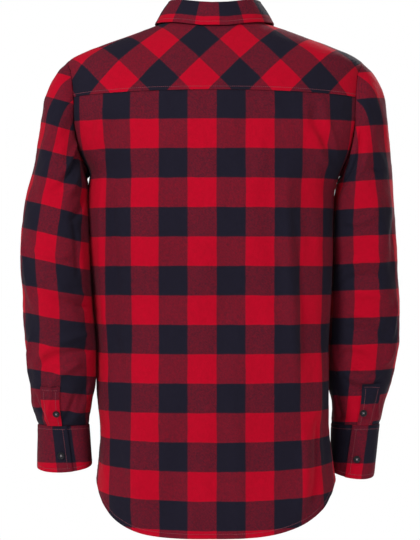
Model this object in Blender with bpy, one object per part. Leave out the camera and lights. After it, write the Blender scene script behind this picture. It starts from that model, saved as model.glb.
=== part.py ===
"""A long-sleeved flannel shirt, filled out with no wearer: body panels, yoke, collar, sleeves, cuffs and buttons.

Run it with: blender --background --python part.py

Lengths are in millimetres and become metres as each mesh is made. +Z is up, the front faces -Y and the wearer's
left is +X. The origin is the middle of the neck opening, level with the neck seam, where a hand or a hanger holds it.

The body panels lie on one form, a stack of rounded sections read from TORSO. Each panel is a grid between its seams,
laid on the form and given a thickness inwards, and neighbours share their seam's points. Sleeves are rows of rings
that begin at the armhole. Both sleeves are worked out as left ones and the right one is mirrored.
"""

import math

import bpy
import numpy as np
from mathutils import Vector

MM = 0.001

# Driving sizes
CLOTH = 1.5            # one layer of flannel
DOUBLE = 2.2           # two layers and interlining, in collar and cuffs
GAP = 0.3              # between pieces at a seam, and between a piece and what it lies on
SHOULDER_TIP = -50.0   # height of the shoulder ridge at the armhole
ARMPIT = -228.0        # height of the armhole's lowest point
ARMHOLE_HALF_WIDTH = 54.0           # of the armhole, front to back
NECK_HALF_WIDTH = 72.0
NECK_BACK = 58.0       # from the origin back to the neck seam
NECK_FRONT = 56.0      # from the origin forward to the neck seam
NECK_HEIGHTS = (1.0, 9.0, -60.0)    # of the neck seam at the back, sides and front
YOKE_BACK = -102.5     # height of the yoke's back seam in the middle
YOKE_BACK_FALL = 7.0   # of that seam from the middle to the armhole
YOKE_FRONT_TURN = 106.6             # degrees round the neck from the back to the front yoke seam
YOKE_FRONT_END = -72.0 # height of that seam at the armhole
HEM_SIDE = -696.0      # height of the hem at the side seams
HEM_BACK = -773.0      # and in the middle of the back
HEM_FRONT = -757.0     # and in the middle of the front
HEM_CURVE = (0.93, 1.8)             # where the tail's curve ends, of the way to the side seam, and its power
HEM_TURN = 0.07        # turn in radians by which the tails' lowest points lie towards the left
PLACKET = (-16.0, -6.0, 6.0, 16.0)  # x of the grid lines across the front placket, from the left front's edge
UNDERLAP = CLOTH + 0.4 # how far the right front dips to pass under the left

# The form, top to bottom. back and front are measured from y = 0, and shift moves a section towards the left.
TORSO_COLUMNS = ("z", "half_width", "back", "front", "squareness", "shift")
TORSO = [
    (45, 66, 50, 30, 2.1, 0),
    (9, 74, 55, 22, 2.1, 0),
    (-10, 124, 66, 31, 2.15, 0),
    (-30, 178, 78, 43, 2.2, 0),
    (-50, 222, 88, 56, 2.25, 0),
    (-75, 228, 98, 74, 2.4, 0),
    (-110, 229, 107, 93, 2.5, 0),
    (-150, 226, 112, 107, 2.6, 0),
    (-190, 214, 114, 116, 2.6, 0),
    (-228, 192, 114, 119, 2.6, 0),
    (-240, 190, 114, 119, 2.6, 0),
    (-275, 189, 113, 119, 2.6, 6.5),
    (-330, 189, 111, 118, 2.55, 6.5),
    (-400, 186.5, 108, 116, 2.5, 6),
    (-480, 180, 106, 115, 2.5, 4.5),
    (-560, 178, 106, 115, 2.5, 3),
    (-620, 176, 107, 116, 2.5, 0),
    (-690, 183, 109, 117, 2.45, -2),
    (-800, 184, 111, 118, 2.4, -3),
]

# Soft folds of the body: the crest's ends as degrees round the form (0 is the middle of the back, 90 the left side)
# and height, its half width, how far it stands out, and the depth of the trough beside it.
FOLD_COLUMNS = ("angle_0", "z_0", "angle_1", "z_1", "half_width", "crest", "trough")
FOLDS = [
    (-32, -225, -41, -500, 15, 4.5, 3.0),
    (55, -215, 53, -500, 18, 2.0, 4.0),
    (-58, -560, -46, -700, 22, 3.0, 4.5),
    (20, -560, 26, -720, 24, 2.5, 1.5),
    (150, -300, 142, -620, 20, 3.5, 2.0),
    (-146, -330, -138, -640, 22, 3.5, 2.5),
]

# Each sleeve is a row of planar rings after the armhole. A ring runs through an outer and an inner point, with x
# outwards positive, and reaches half_depth to the front and back of y.
SLEEVE_COLUMNS = ("outer_x", "outer_z", "inner_x", "inner_z", "y", "half_depth", "squareness")
SLEEVE_LEFT = [
    (240, -69, 196.0, -234, 5, 60, 2.1),
    (255, -102, 198.0, -241, 11, 65, 2.2),
    (264, -144, 199.0, -252, 18, 69, 2.3),
    (274, -200, 198.5, -271, 25, 72, 2.3),
    (286, -265, 196.0, -300, 33, 72, 2.3),
    (294.5, -340, 193.0, -352, 39, 69, 2.3),
    (292, -410, 187.5, -415, 40, 63, 2.3),
    (287.5, -470, 181.0, -474, 36, 57, 2.3),
    (283.5, -530, 179.5, -531, 28, 52, 2.3),
    (279.5, -576, 184.5, -576, 18, 46, 2.2),
    (271, -609, 192.0, -609, 10, 37, 2.1),
]
SLEEVE_RIGHT = [
    (243, -70, 196.0, -234, -2, 60, 2.1),
    (259, -100, 196.5, -242, -6, 65, 2.2),
    (265.5, -143, 194.5, -254, -10, 69, 2.3),
    (272, -205, 188.0, -273, -16, 72, 2.3),
    (279, -275, 181.5, -305, -24, 72, 2.3),
    (284.5, -345, 179.0, -355, -31, 69, 2.3),
    (288.5, -420, 177.0, -422, -36, 63, 2.3),
    (288, -480, 174.0, -480, -40, 57, 2.3),
    (278.5, -540, 175.0, -540, -43, 51, 2.3),
    (265.5, -583, 180.5, -583, -45, 45, 2.2),
    (258, -612, 182.0, -612, -46, 39, 2.1),
]
CUFF_LEFT = (272.5, -674, 187.5, -670, 6, 37, 2.1)     # the cuff's lower ring, read as a sleeve's
CUFF_RIGHT = (250, -691, 181.0, -683, -52, 41, 2.1)
CUFF_TILT = 8.5        # how far the lower ring's back hangs below its sides
CUFF_EDGE = (0.22, 0.19)            # of a turn from the inner point round the back to the outer end's top and bottom
CUFF_AROUND = 27       # cells in one turn of a cuff
CUFF_OVERLAP = 3       # cells that run on under the outer end, and cells over which they dip
CUFF_DIP = DOUBLE + 0.7
SLEEVE_CLEARANCE = 3.6 # from the form to a sleeve that hangs against it
SLEEVE_FREE = (-236.0, -262.0)      # heights between which that clearance begins
SLEEVE_PLACKET = (5, 7, 3)          # first and last ring point that it spans, and rings that it runs up the sleeve

STAND_HEIGHT = (27.5, 26.0)         # of the collar stand at the back and at the front
STAND_LEAN = 0.93      # size of the stand's top edge as a share of its foot
STAND_DIP = DOUBLE + 0.4            # how far the stand's right end dips to pass under the left
FOLD_RADIUS = 1.2      # inside the collar's fold
COLLAR_BACK = (67.0, -2.5)          # y and z of the collar's edge at the back
COLLAR_SIDE = 92.0     # x of its edge at the side
COLLAR_POINT = (57.0, -92.0)        # x and y of the left collar point
COLLAR_CLEARANCE = DOUBLE + 1.8     # from the form to the collar's outer face

BUTTON_RADIUS = 5.5
BUTTON_THICKNESS = 2.6
BUTTON_SIDES = 16
FRONT_BUTTONS = (-120, -215, -310, -405, -500, -595)   # heights down the placket
CUFF_BUTTON = (1.6, 0.64)           # cells from the outer end, and share of the way down
SLEEVE_BUTTON = (0.5, 19.0)         # share of the width of the sleeve placket's rear half, and height over the cuff

# Grid cells
ARMHOLE_BACK, ARMHOLE_YOKE, ARMHOLE_FRONT = 6, 6, 8    # of the armhole, by the panel that it bounds
SIDE_ROWS = 11         # up a side seam
BACK_ACROSS = 24       # across the back, and the yoke's whole upper edge
SHOULDER_CELLS = 6     # of that edge along each shoulder
NECK_CELLS = 4         # of the neck seam from the placket to the front yoke seam
HEM_CELLS = SHOULDER_CELLS + NECK_CELLS
SLEEVE_CELLS = 17      # down a sleeve
DENSE = 400            # points of a curve that is measured before it is divided

MATERIALS = {
    "plaid_flannel": ((0.40, 0.012, 0.028), 0.92),
    "plaid_bands": ((0.13, 0.014, 0.028), 0.92),
    "button": ((0.012, 0.012, 0.018), 0.30),
}


# ---- curves and tables ----

def smooth(at, knots, values):
    """The smooth curve through the values at rising knots, held at both ends."""
    at = np.clip(np.asarray(at, float), knots[0], knots[-1])
    slopes = np.gradient(values, knots, axis=0)
    i = np.clip(np.searchsorted(knots, at, side="right") - 1, 0, len(knots) - 2)
    width = knots[i + 1] - knots[i]
    t = (at - knots[i]) / width
    extra = (None,) * (values.ndim - 1)
    t, width = t[(...,) + extra], width[(...,) + extra]
    return (
        values[i] * (1 + 2 * t) * (1 - t) ** 2
        + values[i + 1] * t * t * (3 - 2 * t)
        + slopes[i] * width * t * (1 - t) ** 2
        + slopes[i + 1] * width * t * t * (t - 1)
    )


def smoothstep(x):
    x = np.clip(x, 0, 1)
    return x * x * (3 - 2 * x)


def unit(v):
    return v / np.maximum(np.linalg.norm(v, axis=-1, keepdims=True), 1e-9)


def shares_of(points):
    """Each point's share of a polyline's length."""
    length = np.concatenate([[0], np.cumsum(np.linalg.norm(np.diff(points, axis=0), axis=1))])
    return length / length[-1]


def along(points, shares):
    """Points at these shares of a polyline's length."""
    at = shares_of(points)
    return np.stack([np.interp(shares, at, points[:, k]) for k in range(3)], axis=1)


def evenly(points, cells):
    return along(points, np.linspace(0, 1, cells + 1))


def mirrored(points):
    return points * np.array([-1, 1, 1])


# ---- the form ----

HEIGHTS = np.array([row[0] for row in TORSO], float)[::-1]
SECTIONS = np.array([row[1:] for row in TORSO], float)[::-1]


def section(z):
    """Half width, back, front, squareness and shift of the form at height z."""
    return np.moveaxis(smooth(z, HEIGHTS, SECTIONS), -1, 0)


def on_form(angle, z):
    """The form's points at an angle in radians and a height."""
    half, back, front, power, shift = section(z)
    s, c = np.sin(angle), np.cos(angle)
    reach = (np.abs(s) ** power + np.abs(c) ** power) ** (-1 / power)
    return np.stack([shift + half * s * reach, np.where(c > 0, back, front) * c * reach, z + 0 * angle], axis=-1)


def across_form(x, z, side):
    """The form's points at x and z, at the back (side 1) or the front (side -1)."""
    half, back, front, power, shift = section(z)
    x = np.broadcast_to(x, half.shape)
    depth = (1 - np.minimum(np.abs(x - shift) / half, 1) ** power) ** (1 / power)
    return np.stack([x, side * depth * (back if side > 0 else front), z + 0 * x], axis=-1)


def outside(points):
    """Below 0 inside the form, 0 on it and above 0 outside it."""
    half, back, front, power, shift = section(points[..., 2])
    x = np.abs(points[..., 0] - shift) / half
    y = np.abs(points[..., 1]) / np.where(points[..., 1] > 0, back, front)
    return (x ** power + y ** power) ** (1 / power) - 1


def slope(points, step=0.5):
    return np.stack([(outside(points + d) - outside(points - d)) / (2 * step) for d in step * np.eye(3)], axis=-1)


def outwards(points):
    return unit(slope(points))


def height_over_form(points):
    return outside(points) / np.linalg.norm(slope(points), axis=-1)


def onto_form(points, rounds=12):
    """The points moved to the form along its own slope."""
    points = np.array(points, float)
    for _ in range(rounds):
        points = points - outwards(points) * height_over_form(points)[..., None]
    return points


def lifted(points, clearance, rounds=12):
    """Points that lie closer to the form than the clearance, moved out to it."""
    points = np.array(points, float)
    for _ in range(rounds):
        short = np.maximum(clearance - height_over_form(points), 0)
        points = points + outwards(points) * short[..., None]
    return points


def fold_height(points):
    """How far the body's folds stand out of the form at each of its points."""
    half, back, front, _, shift = section(points[..., 2])
    y = points[..., 1] / np.where(points[..., 1] > 0, back, front)
    turn = np.degrees(np.arctan2((points[..., 0] - shift) / half, y))
    total = 0 * turn
    for angle_0, z_0, angle_1, z_1, half_width, crest, trough in FOLDS:
        t = (points[..., 2] - z_0) / (z_1 - z_0)
        fade = smoothstep((t + 0.25) / 0.5) * smoothstep((1.25 - t) / 0.5)
        off = np.radians(turn - angle_0 - (angle_1 - angle_0) * t) * 150 / half_width
        total = total + fade * (crest * np.exp(-off * off) - trough * np.exp(-(off + 1.7) ** 2))
    return total


# ---- seams, for the left half ----

def armhole_half(side):
    """The armhole from the armpit up to the shoulder tip, at the back (side 1) or the front (side -1)."""
    turn = np.linspace(0, math.pi, DENSE)
    z = (ARMPIT + SHOULDER_TIP) / 2 + (ARMPIT - SHOULDER_TIP) / 2 * np.cos(turn)
    y = side * ARMHOLE_HALF_WIDTH * np.sin(turn)
    half, back, front, power, _ = section(z)
    x = half * (1 - (np.abs(y) / (back if side > 0 else front)) ** power) ** (1 / power)
    return np.stack([x, y, z], axis=1)


def yoke_back_height(x):
    return YOKE_BACK - YOKE_BACK_FALL * (x / 216) ** 2


def armhole():
    """The armhole's points from the armpit up the back, over the yoke, and down the front to the armpit."""
    back, front = armhole_half(1), armhole_half(-1)
    i = int(np.argmax(back[:, 2] > yoke_back_height(back[:, 0])))
    j = int(np.argmax(front[:, 2] > YOKE_FRONT_END))
    over = np.concatenate([back[i:], front[j:-1][::-1]])
    return evenly(back[: i + 1], ARMHOLE_BACK), evenly(over, ARMHOLE_YOKE), evenly(front[: j + 1][::-1], ARMHOLE_FRONT)


def neck(turn):
    """The neck seam at a turn in radians from the back."""
    turn = np.asarray(turn, float)
    s, c = np.sin(turn), np.cos(turn)
    back, side, front = NECK_HEIGHTS
    z = side + np.where(c > 0, (back - side) * np.abs(c) ** 2, (front - side) * np.abs(c) ** 1.6)
    return onto_form(np.stack([NECK_HALF_WIDTH * s, np.where(c > 0, NECK_BACK, NECK_FRONT) * c, z], axis=-1))


CORNER = math.radians(YOKE_FRONT_TURN)
FRONT_TURNS = np.concatenate([
    math.pi - np.arcsin(np.array(PLACKET) / NECK_HALF_WIDTH),
    np.linspace(math.pi - math.asin(PLACKET[-1] / NECK_HALF_WIDTH), CORNER, NECK_CELLS + 1)[1:],
])
BACK_TURNS = np.linspace(-CORNER, CORNER, BACK_ACROSS - 2 * SHOULDER_CELLS + 1)


def shoulder_seam():
    """The front yoke seam from the neck to the armhole."""
    start, end = neck(CORNER), armhole()[2][0]
    line = onto_form(start + (end - start) * np.linspace(0, 1, DENSE)[:, None])
    line[0], line[-1] = start, end
    return evenly(line, SHOULDER_CELLS)


def back_seam():
    """The seam between back and yoke, from the right armhole to the left."""
    end = armhole()[0][-1]
    line = across_form(np.linspace(-end[0], end[0], DENSE), yoke_back_height(np.linspace(-end[0], end[0], DENSE)), 1)
    line[0], line[-1] = mirrored(end), end
    return evenly(line, BACK_ACROSS)


def side_seam(side):
    """The side seam from the hem up to the armpit; side 1 is the left."""
    z = np.linspace(HEM_SIDE, ARMPIT, SIDE_ROWS + 1)
    return on_form(np.full(z.shape, side * math.pi / 2), z)


def hem(middle, angle):
    """Hem points at angles on the form, with the middle of their panel at this height."""
    end, power = HEM_CURVE
    share = np.abs(2 / math.pi * np.arcsin(np.clip(np.sin(angle - HEM_TURN * np.cos(angle)), -1, 1)))
    return on_form(angle, middle + (HEM_SIDE - middle) * smoothstep((share / end) ** power))


# ---- grids ----

def coons(bottom, top, left, right):
    """A grid [across, up, xyz] between four edges. bottom and top run left to right, left and right run up."""
    u = (shares_of(bottom) + shares_of(top))[:, None, None] / 2
    v = (shares_of(left) + shares_of(right))[None, :, None] / 2
    return (
        (1 - v) * bottom[:, None] + v * top[:, None] + (1 - u) * left[None] + u * right[None]
        - (1 - u) * (1 - v) * bottom[0] - u * (1 - v) * bottom[-1] - (1 - u) * v * top[0] - u * v * top[-1]
    )


def panel(bottom, top, left, right):
    grid = coons(bottom, top, left, right)
    grid[1:-1, 1:-1] = onto_form(grid[1:-1, 1:-1])
    return grid


def back_grid():
    left, right = (np.concatenate([side_seam(s), armhole()[0][1:] * np.array([s, 1, 1])]) for s in (-1, 1))
    line = hem(HEM_BACK, np.linspace(-math.pi / 2, math.pi / 2, DENSE))
    return panel(evenly(line, BACK_ACROSS), back_seam(), left, right)


def yoke_grid():
    shoulder = shoulder_seam()
    top = np.concatenate([mirrored(shoulder)[::-1], neck(BACK_TURNS)[1:-1], shoulder])
    return panel(back_seam(), top, mirrored(armhole()[1]), armhole()[1])


def front_grid(side):
    """A front's grid, from the centre edge to the side and armhole; side 1 is the left front."""
    flip = np.array([side, 1, 1])
    right = np.concatenate([side_seam(side), (armhole()[2][::-1] * flip)[1:]])
    top = np.concatenate([neck(FRONT_TURNS), shoulder_seam()[1:]]) * flip
    line = hem(HEM_FRONT, math.pi - side * np.linspace(-0.3, math.pi / 2, DENSE))
    placket = side * np.array(PLACKET)
    strip = np.stack([np.interp(side * placket, side * line[:, 0], line[:, k]) for k in range(3)], axis=1)
    rest = line[side * line[:, 0] > PLACKET[-1]]
    bottom = np.concatenate([strip, evenly(np.concatenate([strip[-1:], rest]), HEM_CELLS)[1:]])
    heights = np.interp(right[:, 2], [HEM_SIDE, ARMPIT, YOKE_FRONT_END], [bottom[0, 2], ARMPIT, top[0, 2]])
    left = across_form(placket[0], heights, -1)
    left[0], left[-1] = bottom[0], top[0]
    grid = panel(bottom, top, left, right)
    for i in range(len(PLACKET)):
        grid[i, 1:-1] = across_form(placket[i], grid[i, 1:-1, 2], -1)
    return grid


def ring(row, shares):
    """A sleeve's ring at these shares of a turn, from its inner point round the back."""
    outer_x, outer_z, inner_x, inner_z, y, half_depth, power = row
    middle = np.array([(outer_x + inner_x) / 2, y, (outer_z + inner_z) / 2])
    across = np.array([outer_x - inner_x, 0, outer_z - inner_z]) / 2
    turn = np.linspace(0, 2 * math.pi, DENSE)
    s, c = np.sin(turn), np.cos(turn)
    reach = (np.abs(s) ** power + np.abs(c) ** power) ** (-1 / power)
    line = middle - across * (c * reach)[:, None] + np.array([0, half_depth, 0]) * (s * reach)[:, None]
    return along(line, np.asarray(shares) % 1)


def sleeve_grid(side, rows):
    """A sleeve's outer face [around, along] as a left one's, beginning at the armhole. Its points are even by the cuff.

    Where it would reach into the body it lies against the body's side instead.
    """
    back, yoke, front = armhole()
    loop = np.concatenate([back, yoke[1:], front[1:-1]])
    start = shares_of(np.concatenate([loop, loop[:1]]))[:-1]
    even = np.arange(len(loop)) / len(loop)
    share = np.arange(1, len(rows) + 1) / len(rows)
    stations = np.stack([loop] + [ring(row, start + (even - start) * t) for row, t in zip(rows, share)])
    at = np.arange(len(stations), dtype=float)
    grid = np.moveaxis(smooth(np.linspace(0, at[-1], SLEEVE_CELLS + 1), at, stations), 0, 1)
    high, low = SLEEVE_FREE
    flip = np.array([side, 1, 1])
    return lifted(grid * flip, SLEEVE_CLEARANCE * smoothstep((high - grid[..., 2]) / (high - low))) * flip


def sleeve_normals(grid):
    """Unit normals of a closed grid [around, along], facing away from its axis."""
    normals = unit(np.cross(np.roll(grid, -1, axis=0) - np.roll(grid, 1, axis=0), np.gradient(grid, axis=1)))
    away = grid - grid.mean(axis=0, keepdims=True)
    return normals * np.sign((normals * away).sum(axis=-1).mean())


# ---- solids ----

def wall_faces(across, up, closed):
    """Triangles of a wall between two grids, for an outer grid that runs anticlockwise as seen from outside."""
    cells = across if closed else across - 1

    def at(layer, i, j):
        return layer * across * up + (i % across) * up + j

    faces = []
    for i in range(cells):
        for j in range(up - 1):
            a, b, c, d = (i, j), (i + 1, j), (i + 1, j + 1), (i, j + 1)
            faces += [[at(0, *p) for p in (a, b, c)], [at(0, *p) for p in (a, c, d)]]
            faces += [[at(1, *p) for p in (a, c, b)], [at(1, *p) for p in (a, d, c)]]
    rims = [[(i, 0) for i in range(cells, -1, -1)], [(i, up - 1) for i in range(cells + 1)]]
    if not closed:
        rims += [[(across - 1, j) for j in range(up - 1, -1, -1)], [(0, j) for j in range(up)]]
    for rim in rims:
        for p, q in zip(rim, rim[1:]):
            faces += [[at(0, *p), at(0, *q), at(1, *q)], [at(0, *p), at(1, *q), at(1, *p)]]
    return faces


def material(name):
    made = bpy.data.materials.new(name)
    made.use_nodes = True
    shader = made.node_tree.nodes["Principled BSDF"]
    colour, roughness = MATERIALS[name]
    shader.inputs["Base Color"].default_value = (*colour, 1)
    shader.inputs["Roughness"].default_value = roughness
    return made


def add_mesh(name, points, faces, slot):
    mesh = bpy.data.meshes.new(name)
    mesh.from_pydata((np.asarray(points) * MM).tolist(), [], faces)
    mesh.materials.append(material(slot))
    mesh.shade_smooth()
    mesh.set_sharp_from_angle(angle=math.radians(50))
    obj = bpy.data.objects.new(name, mesh)
    bpy.context.scene.collection.objects.link(obj)


def add_wall(name, outer, inner, slot="plaid_flannel", closed=False):
    """A solid between two grids [across, up, xyz] of the same shape."""
    across, up = outer.shape[:2]
    faces = wall_faces(across, up, closed)
    facing = np.cross(outer[1, 0] - outer[0, 0], outer[0, 1] - outer[0, 0]) @ (outer[0, 0] - inner[0, 0])
    if facing < 0:
        faces = [face[::-1] for face in faces]
    add_mesh(name, np.concatenate([outer.reshape(-1, 3), inner.reshape(-1, 3)]), faces, slot)


def drawn_in(grid, across=None, up=None):
    """A grid with one edge (0 or -1) moved by the seam gap towards the row beside it."""
    grid = grid.copy()
    view, edge = (grid, across) if up is None else (grid.swapaxes(0, 1), up)
    beside = 1 if edge == 0 else -2
    view[edge] += unit(view[beside] - view[edge]) * GAP
    return grid


def seat_on(strip, share, z, facing):
    """A button's seat just over a strip two points wide, at a share of its width and a height, and its axis.

    facing is a direction roughly out of the strip.
    """
    line = strip[0] + (strip[1] - strip[0]) * share
    k = int(np.argmax((line[:-1, 2] - z) * (line[1:, 2] - z) <= 0))
    t = (z - line[k, 2]) / (line[k + 1, 2] - line[k, 2])
    axis = unit(np.cross(strip[1, k] - strip[0, k], line[k + 1] - line[k]))
    axis *= np.sign(axis @ np.asarray(facing, float))
    return line[k] + (line[k + 1] - line[k]) * t + axis * GAP, axis


def button_mesh():
    """A dished button about its own Z axis, its back at the origin."""
    profile = [(0.75, 0), (1, 0.35), (1, 0.8), (0.86, 1), (0.66, 0.72)]
    turn = np.arange(BUTTON_SIDES) * 2 * math.pi / BUTTON_SIDES
    rings = [np.stack([BUTTON_RADIUS * r * np.cos(turn), BUTTON_RADIUS * r * np.sin(turn),
                       BUTTON_THICKNESS * h + 0 * turn], axis=1) for r, h in profile]
    points = np.concatenate([np.zeros((1, 3)), *rings, [[0, 0, BUTTON_THICKNESS * profile[-1][1]]]])
    faces, last = [], len(points) - 1
    for i in range(BUTTON_SIDES):
        j = (i + 1) % BUTTON_SIDES
        faces.append([0, 1 + j, 1 + i])
        for k in range(len(profile) - 1):
            low, high = 1 + k * BUTTON_SIDES, 1 + (k + 1) * BUTTON_SIDES
            faces += [[low + i, low + j, high + j], [low + i, high + j, high + i]]
        faces.append([last, last - BUTTON_SIDES + i, last - BUTTON_SIDES + j])
    mesh = bpy.data.meshes.new("button")
    mesh.from_pydata((points * MM).tolist(), [], faces)
    mesh.materials.append(material("button"))
    mesh.shade_smooth()
    mesh.set_sharp_from_angle(angle=math.radians(40))
    return mesh


def add_button(name, middle, axis):
    """A button whose back is centred on middle, facing along axis. All buttons share one mesh."""
    mesh = bpy.data.meshes.get("button") or button_mesh()
    obj = bpy.data.objects.new(name, mesh)
    obj.location = middle * MM
    obj.rotation_euler = Vector(axis).to_track_quat("Z", "Y").to_euler()
    bpy.context.scene.collection.objects.link(obj)


# ---- body ----

def armhole_walls(sleeve):
    """Inward thickness directions along the armhole: of the panels and of the sleeve, and the sleeve's way off.

    Where sleeve and panel bend back from their seam, both walls end in the plane halfway between them.
    """
    loop = sleeve[:, 0]
    panel_normal, sleeve_normal = outwards(loop), sleeve_normals(sleeve)[:, 0]
    sleeve_away = unit(sleeve[:, 1] - sleeve[:, 0])
    tangent = unit(np.roll(loop, -1, axis=0) - np.roll(loop, 1, axis=0))
    panel_away = unit(np.cross(panel_normal, tangent))
    panel_away *= np.sign((panel_away * (np.array([0, 0, -150.0]) - loop)).sum(axis=1, keepdims=True))
    shared = unit(panel_normal + sleeve_normal)
    shared = shared / np.clip((shared * panel_normal).sum(axis=1, keepdims=True), 0.6, 1)
    ridge = (panel_normal * sleeve_away).sum(axis=1, keepdims=True) < 0
    return (np.where(ridge, shared, panel_normal), np.where(ridge, shared, sleeve_normal),
            unit(sleeve_away - panel_away))


def add_body(panel_walls):
    """Back, yoke and fronts. panel_walls are the panels' thickness directions round the left armhole."""
    count = len(panel_walls)
    back_walls = panel_walls[: ARMHOLE_BACK + 1]
    yoke_walls = panel_walls[ARMHOLE_BACK : ARMHOLE_BACK + ARMHOLE_YOKE + 1]
    front_walls = panel_walls[np.arange(ARMHOLE_BACK + ARMHOLE_YOKE, count + 1) % count]

    def folded(grid):
        return grid + outwards(grid) * fold_height(grid)[..., None]

    grid = back_grid()
    outer, normals = folded(grid), outwards(grid)
    outer[:, -1] = grid[:, -1]
    for edge, side in ((0, -1), (-1, 1)):
        outer[edge, SIDE_ROWS:] = grid[edge, SIDE_ROWS:]
        normals[edge, SIDE_ROWS:] = back_walls * np.array([side, 1, 1])
    add_wall("back", outer, outer - normals * CLOTH)

    grid = yoke_grid()
    normals = outwards(grid)
    normals[0], normals[-1] = mirrored(yoke_walls), yoke_walls
    outer = drawn_in(grid, up=0)
    outer[: SHOULDER_CELLS + 1] = drawn_in(outer, up=-1)[: SHOULDER_CELLS + 1]
    outer[-SHOULDER_CELLS - 1 :] = drawn_in(outer, up=-1)[-SHOULDER_CELLS - 1 :]
    add_wall("yoke", outer, outer - normals * CLOTH)

    for name, side in (("front_left", 1), ("front_right", -1)):
        grid = front_grid(side)
        outer, normals = folded(grid), outwards(grid)
        outer[:, -1] = grid[:, -1]
        outer[-1, SIDE_ROWS:] = grid[-1, SIDE_ROWS:]
        normals[-1, SIDE_ROWS:] = front_walls[::-1] * np.array([side, 1, 1])
        outer[-1, :SIDE_ROWS + 1] = drawn_in(outer, across=-1)[-1, :SIDE_ROWS + 1]
        if side < 0:
            outer[: len(PLACKET)] -= normals[: len(PLACKET)] * UNDERLAP
        add_wall(name, outer, outer - normals * CLOTH)
        if side > 0:
            strip, facing = outer[: len(PLACKET)], normals[: len(PLACKET)]
            add_wall("placket_front", strip + facing * (GAP + CLOTH), strip + facing * GAP, "plaid_bands")
            for i, z in enumerate(FRONT_BUTTONS, start=2):
                add_button(f"button_front_{i}", *seat_on(strip[1:3] + facing[1:3] * (GAP + CLOTH), 0.5, z, (0, -1, 0)))


# ---- collar ----

def neck_outwards(turn):
    """The level direction away from the neck at a turn."""
    s, c = np.sin(turn), np.cos(turn)
    return unit(np.stack([s / NECK_HALF_WIDTH, c / np.where(c > 0, NECK_BACK, NECK_FRONT), 0 * s], axis=-1))


def stand_line(turn, share):
    """The stand's outer face at a share of its height."""
    foot = neck(turn)
    back, front = STAND_HEIGHT
    height = front + (back - front) * (1 + np.cos(turn)) / 2
    line = foot * (1 + (STAND_LEAN - 1) * share * np.array([1, 1, 0]))
    line[..., 2] += GAP + height * share
    return line


def add_stand():
    """The collar stand, its left end over its right one at the front."""
    turn = np.concatenate([-FRONT_TURNS, BACK_TURNS[1:-1], FRONT_TURNS[::-1]])
    outer = np.stack([stand_line(turn, share) for share in (0, 0.5, 1)], axis=1)
    away = neck_outwards(turn)[:, None]
    outer[: len(PLACKET)] -= away[: len(PLACKET)] * STAND_DIP
    add_wall("collar_stand", outer, outer - away * DOUBLE, "plaid_bands")
    add_button("button_collar", *seat_on(outer[-3:-1], 0.5, outer[-2, :, 2].mean(), (0, -1, 0)))


def collar_edge(turn):
    """The collar's lower edge: over the yoke at the back and sides, then forward to the collar point."""
    back_y, back_z = COLLAR_BACK
    side = np.array([COLLAR_SIDE, 0.0])
    end = math.pi - math.asin(PLACKET[2] / NECK_HALF_WIDTH)
    s, c = np.sin(np.abs(turn)), np.cos(turn)
    t = np.clip((np.abs(turn) - math.pi / 2) / (end - math.pi / 2), 0, 1)[:, None]
    control, tip = np.array([COLLAR_SIDE, -52.0]), np.array(COLLAR_POINT)
    front = (1 - t) ** 2 * side + 2 * t * (1 - t) * control + t * t * tip
    back = np.stack([COLLAR_SIDE * s, back_y * c], axis=1)
    plan = np.where(c[:, None] > 0, back, front)
    heights = np.linspace(30, -130, DENSE)
    edge = np.zeros((len(turn), 3))
    for i, (x, y) in enumerate(plan):
        clear = height_over_form(np.stack([np.full(DENSE, x), np.full(DENSE, y), heights], axis=1)) > COLLAR_CLEARANCE
        edge[i] = (x, y, heights[int(np.argmin(clear))])
    edge[:, 2] = np.maximum(edge[:, 2], np.where(c > 0, back_z, -999))
    edge[:, 0] *= np.sign(turn)
    return edge


def add_leaf():
    """The collar leaf: it rises from the stand's top, folds over and comes down outside it."""
    inner_part = FRONT_TURNS[2:]
    turn = np.concatenate([-inner_part, BACK_TURNS[1:-1], inner_part[::-1]])
    away = neck_outwards(turn)
    middle = stand_line(turn, 1) + away * (FOLD_RADIUS - 0.1) + np.array([0, 0, GAP])
    radius = FOLD_RADIUS + DOUBLE
    over = [middle + away * radius * math.cos(a) + np.array([0, 0, radius * math.sin(a)])
            for a in np.radians([180, 130, 90, 50, 10])]
    edge = collar_edge(turn)
    start = over[-1]
    falls = []
    for share in (0.3, 0.65, 1.0):
        line = start + (edge - start) * share
        line = line + away * math.sin(math.pi * share)
        falls.append(lifted(line, COLLAR_CLEARANCE))
    outer = np.stack(over + falls, axis=1)
    across = np.gradient(outer, axis=0)
    normals = unit(np.cross(across, np.gradient(outer, axis=1)))
    normals *= np.sign((normals[:, 5] * away).sum(axis=1).mean())
    normals[:, 0] = -away
    add_wall("collar_leaf", outer, outer - normals * DOUBLE)


# ---- sleeves ----

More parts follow.
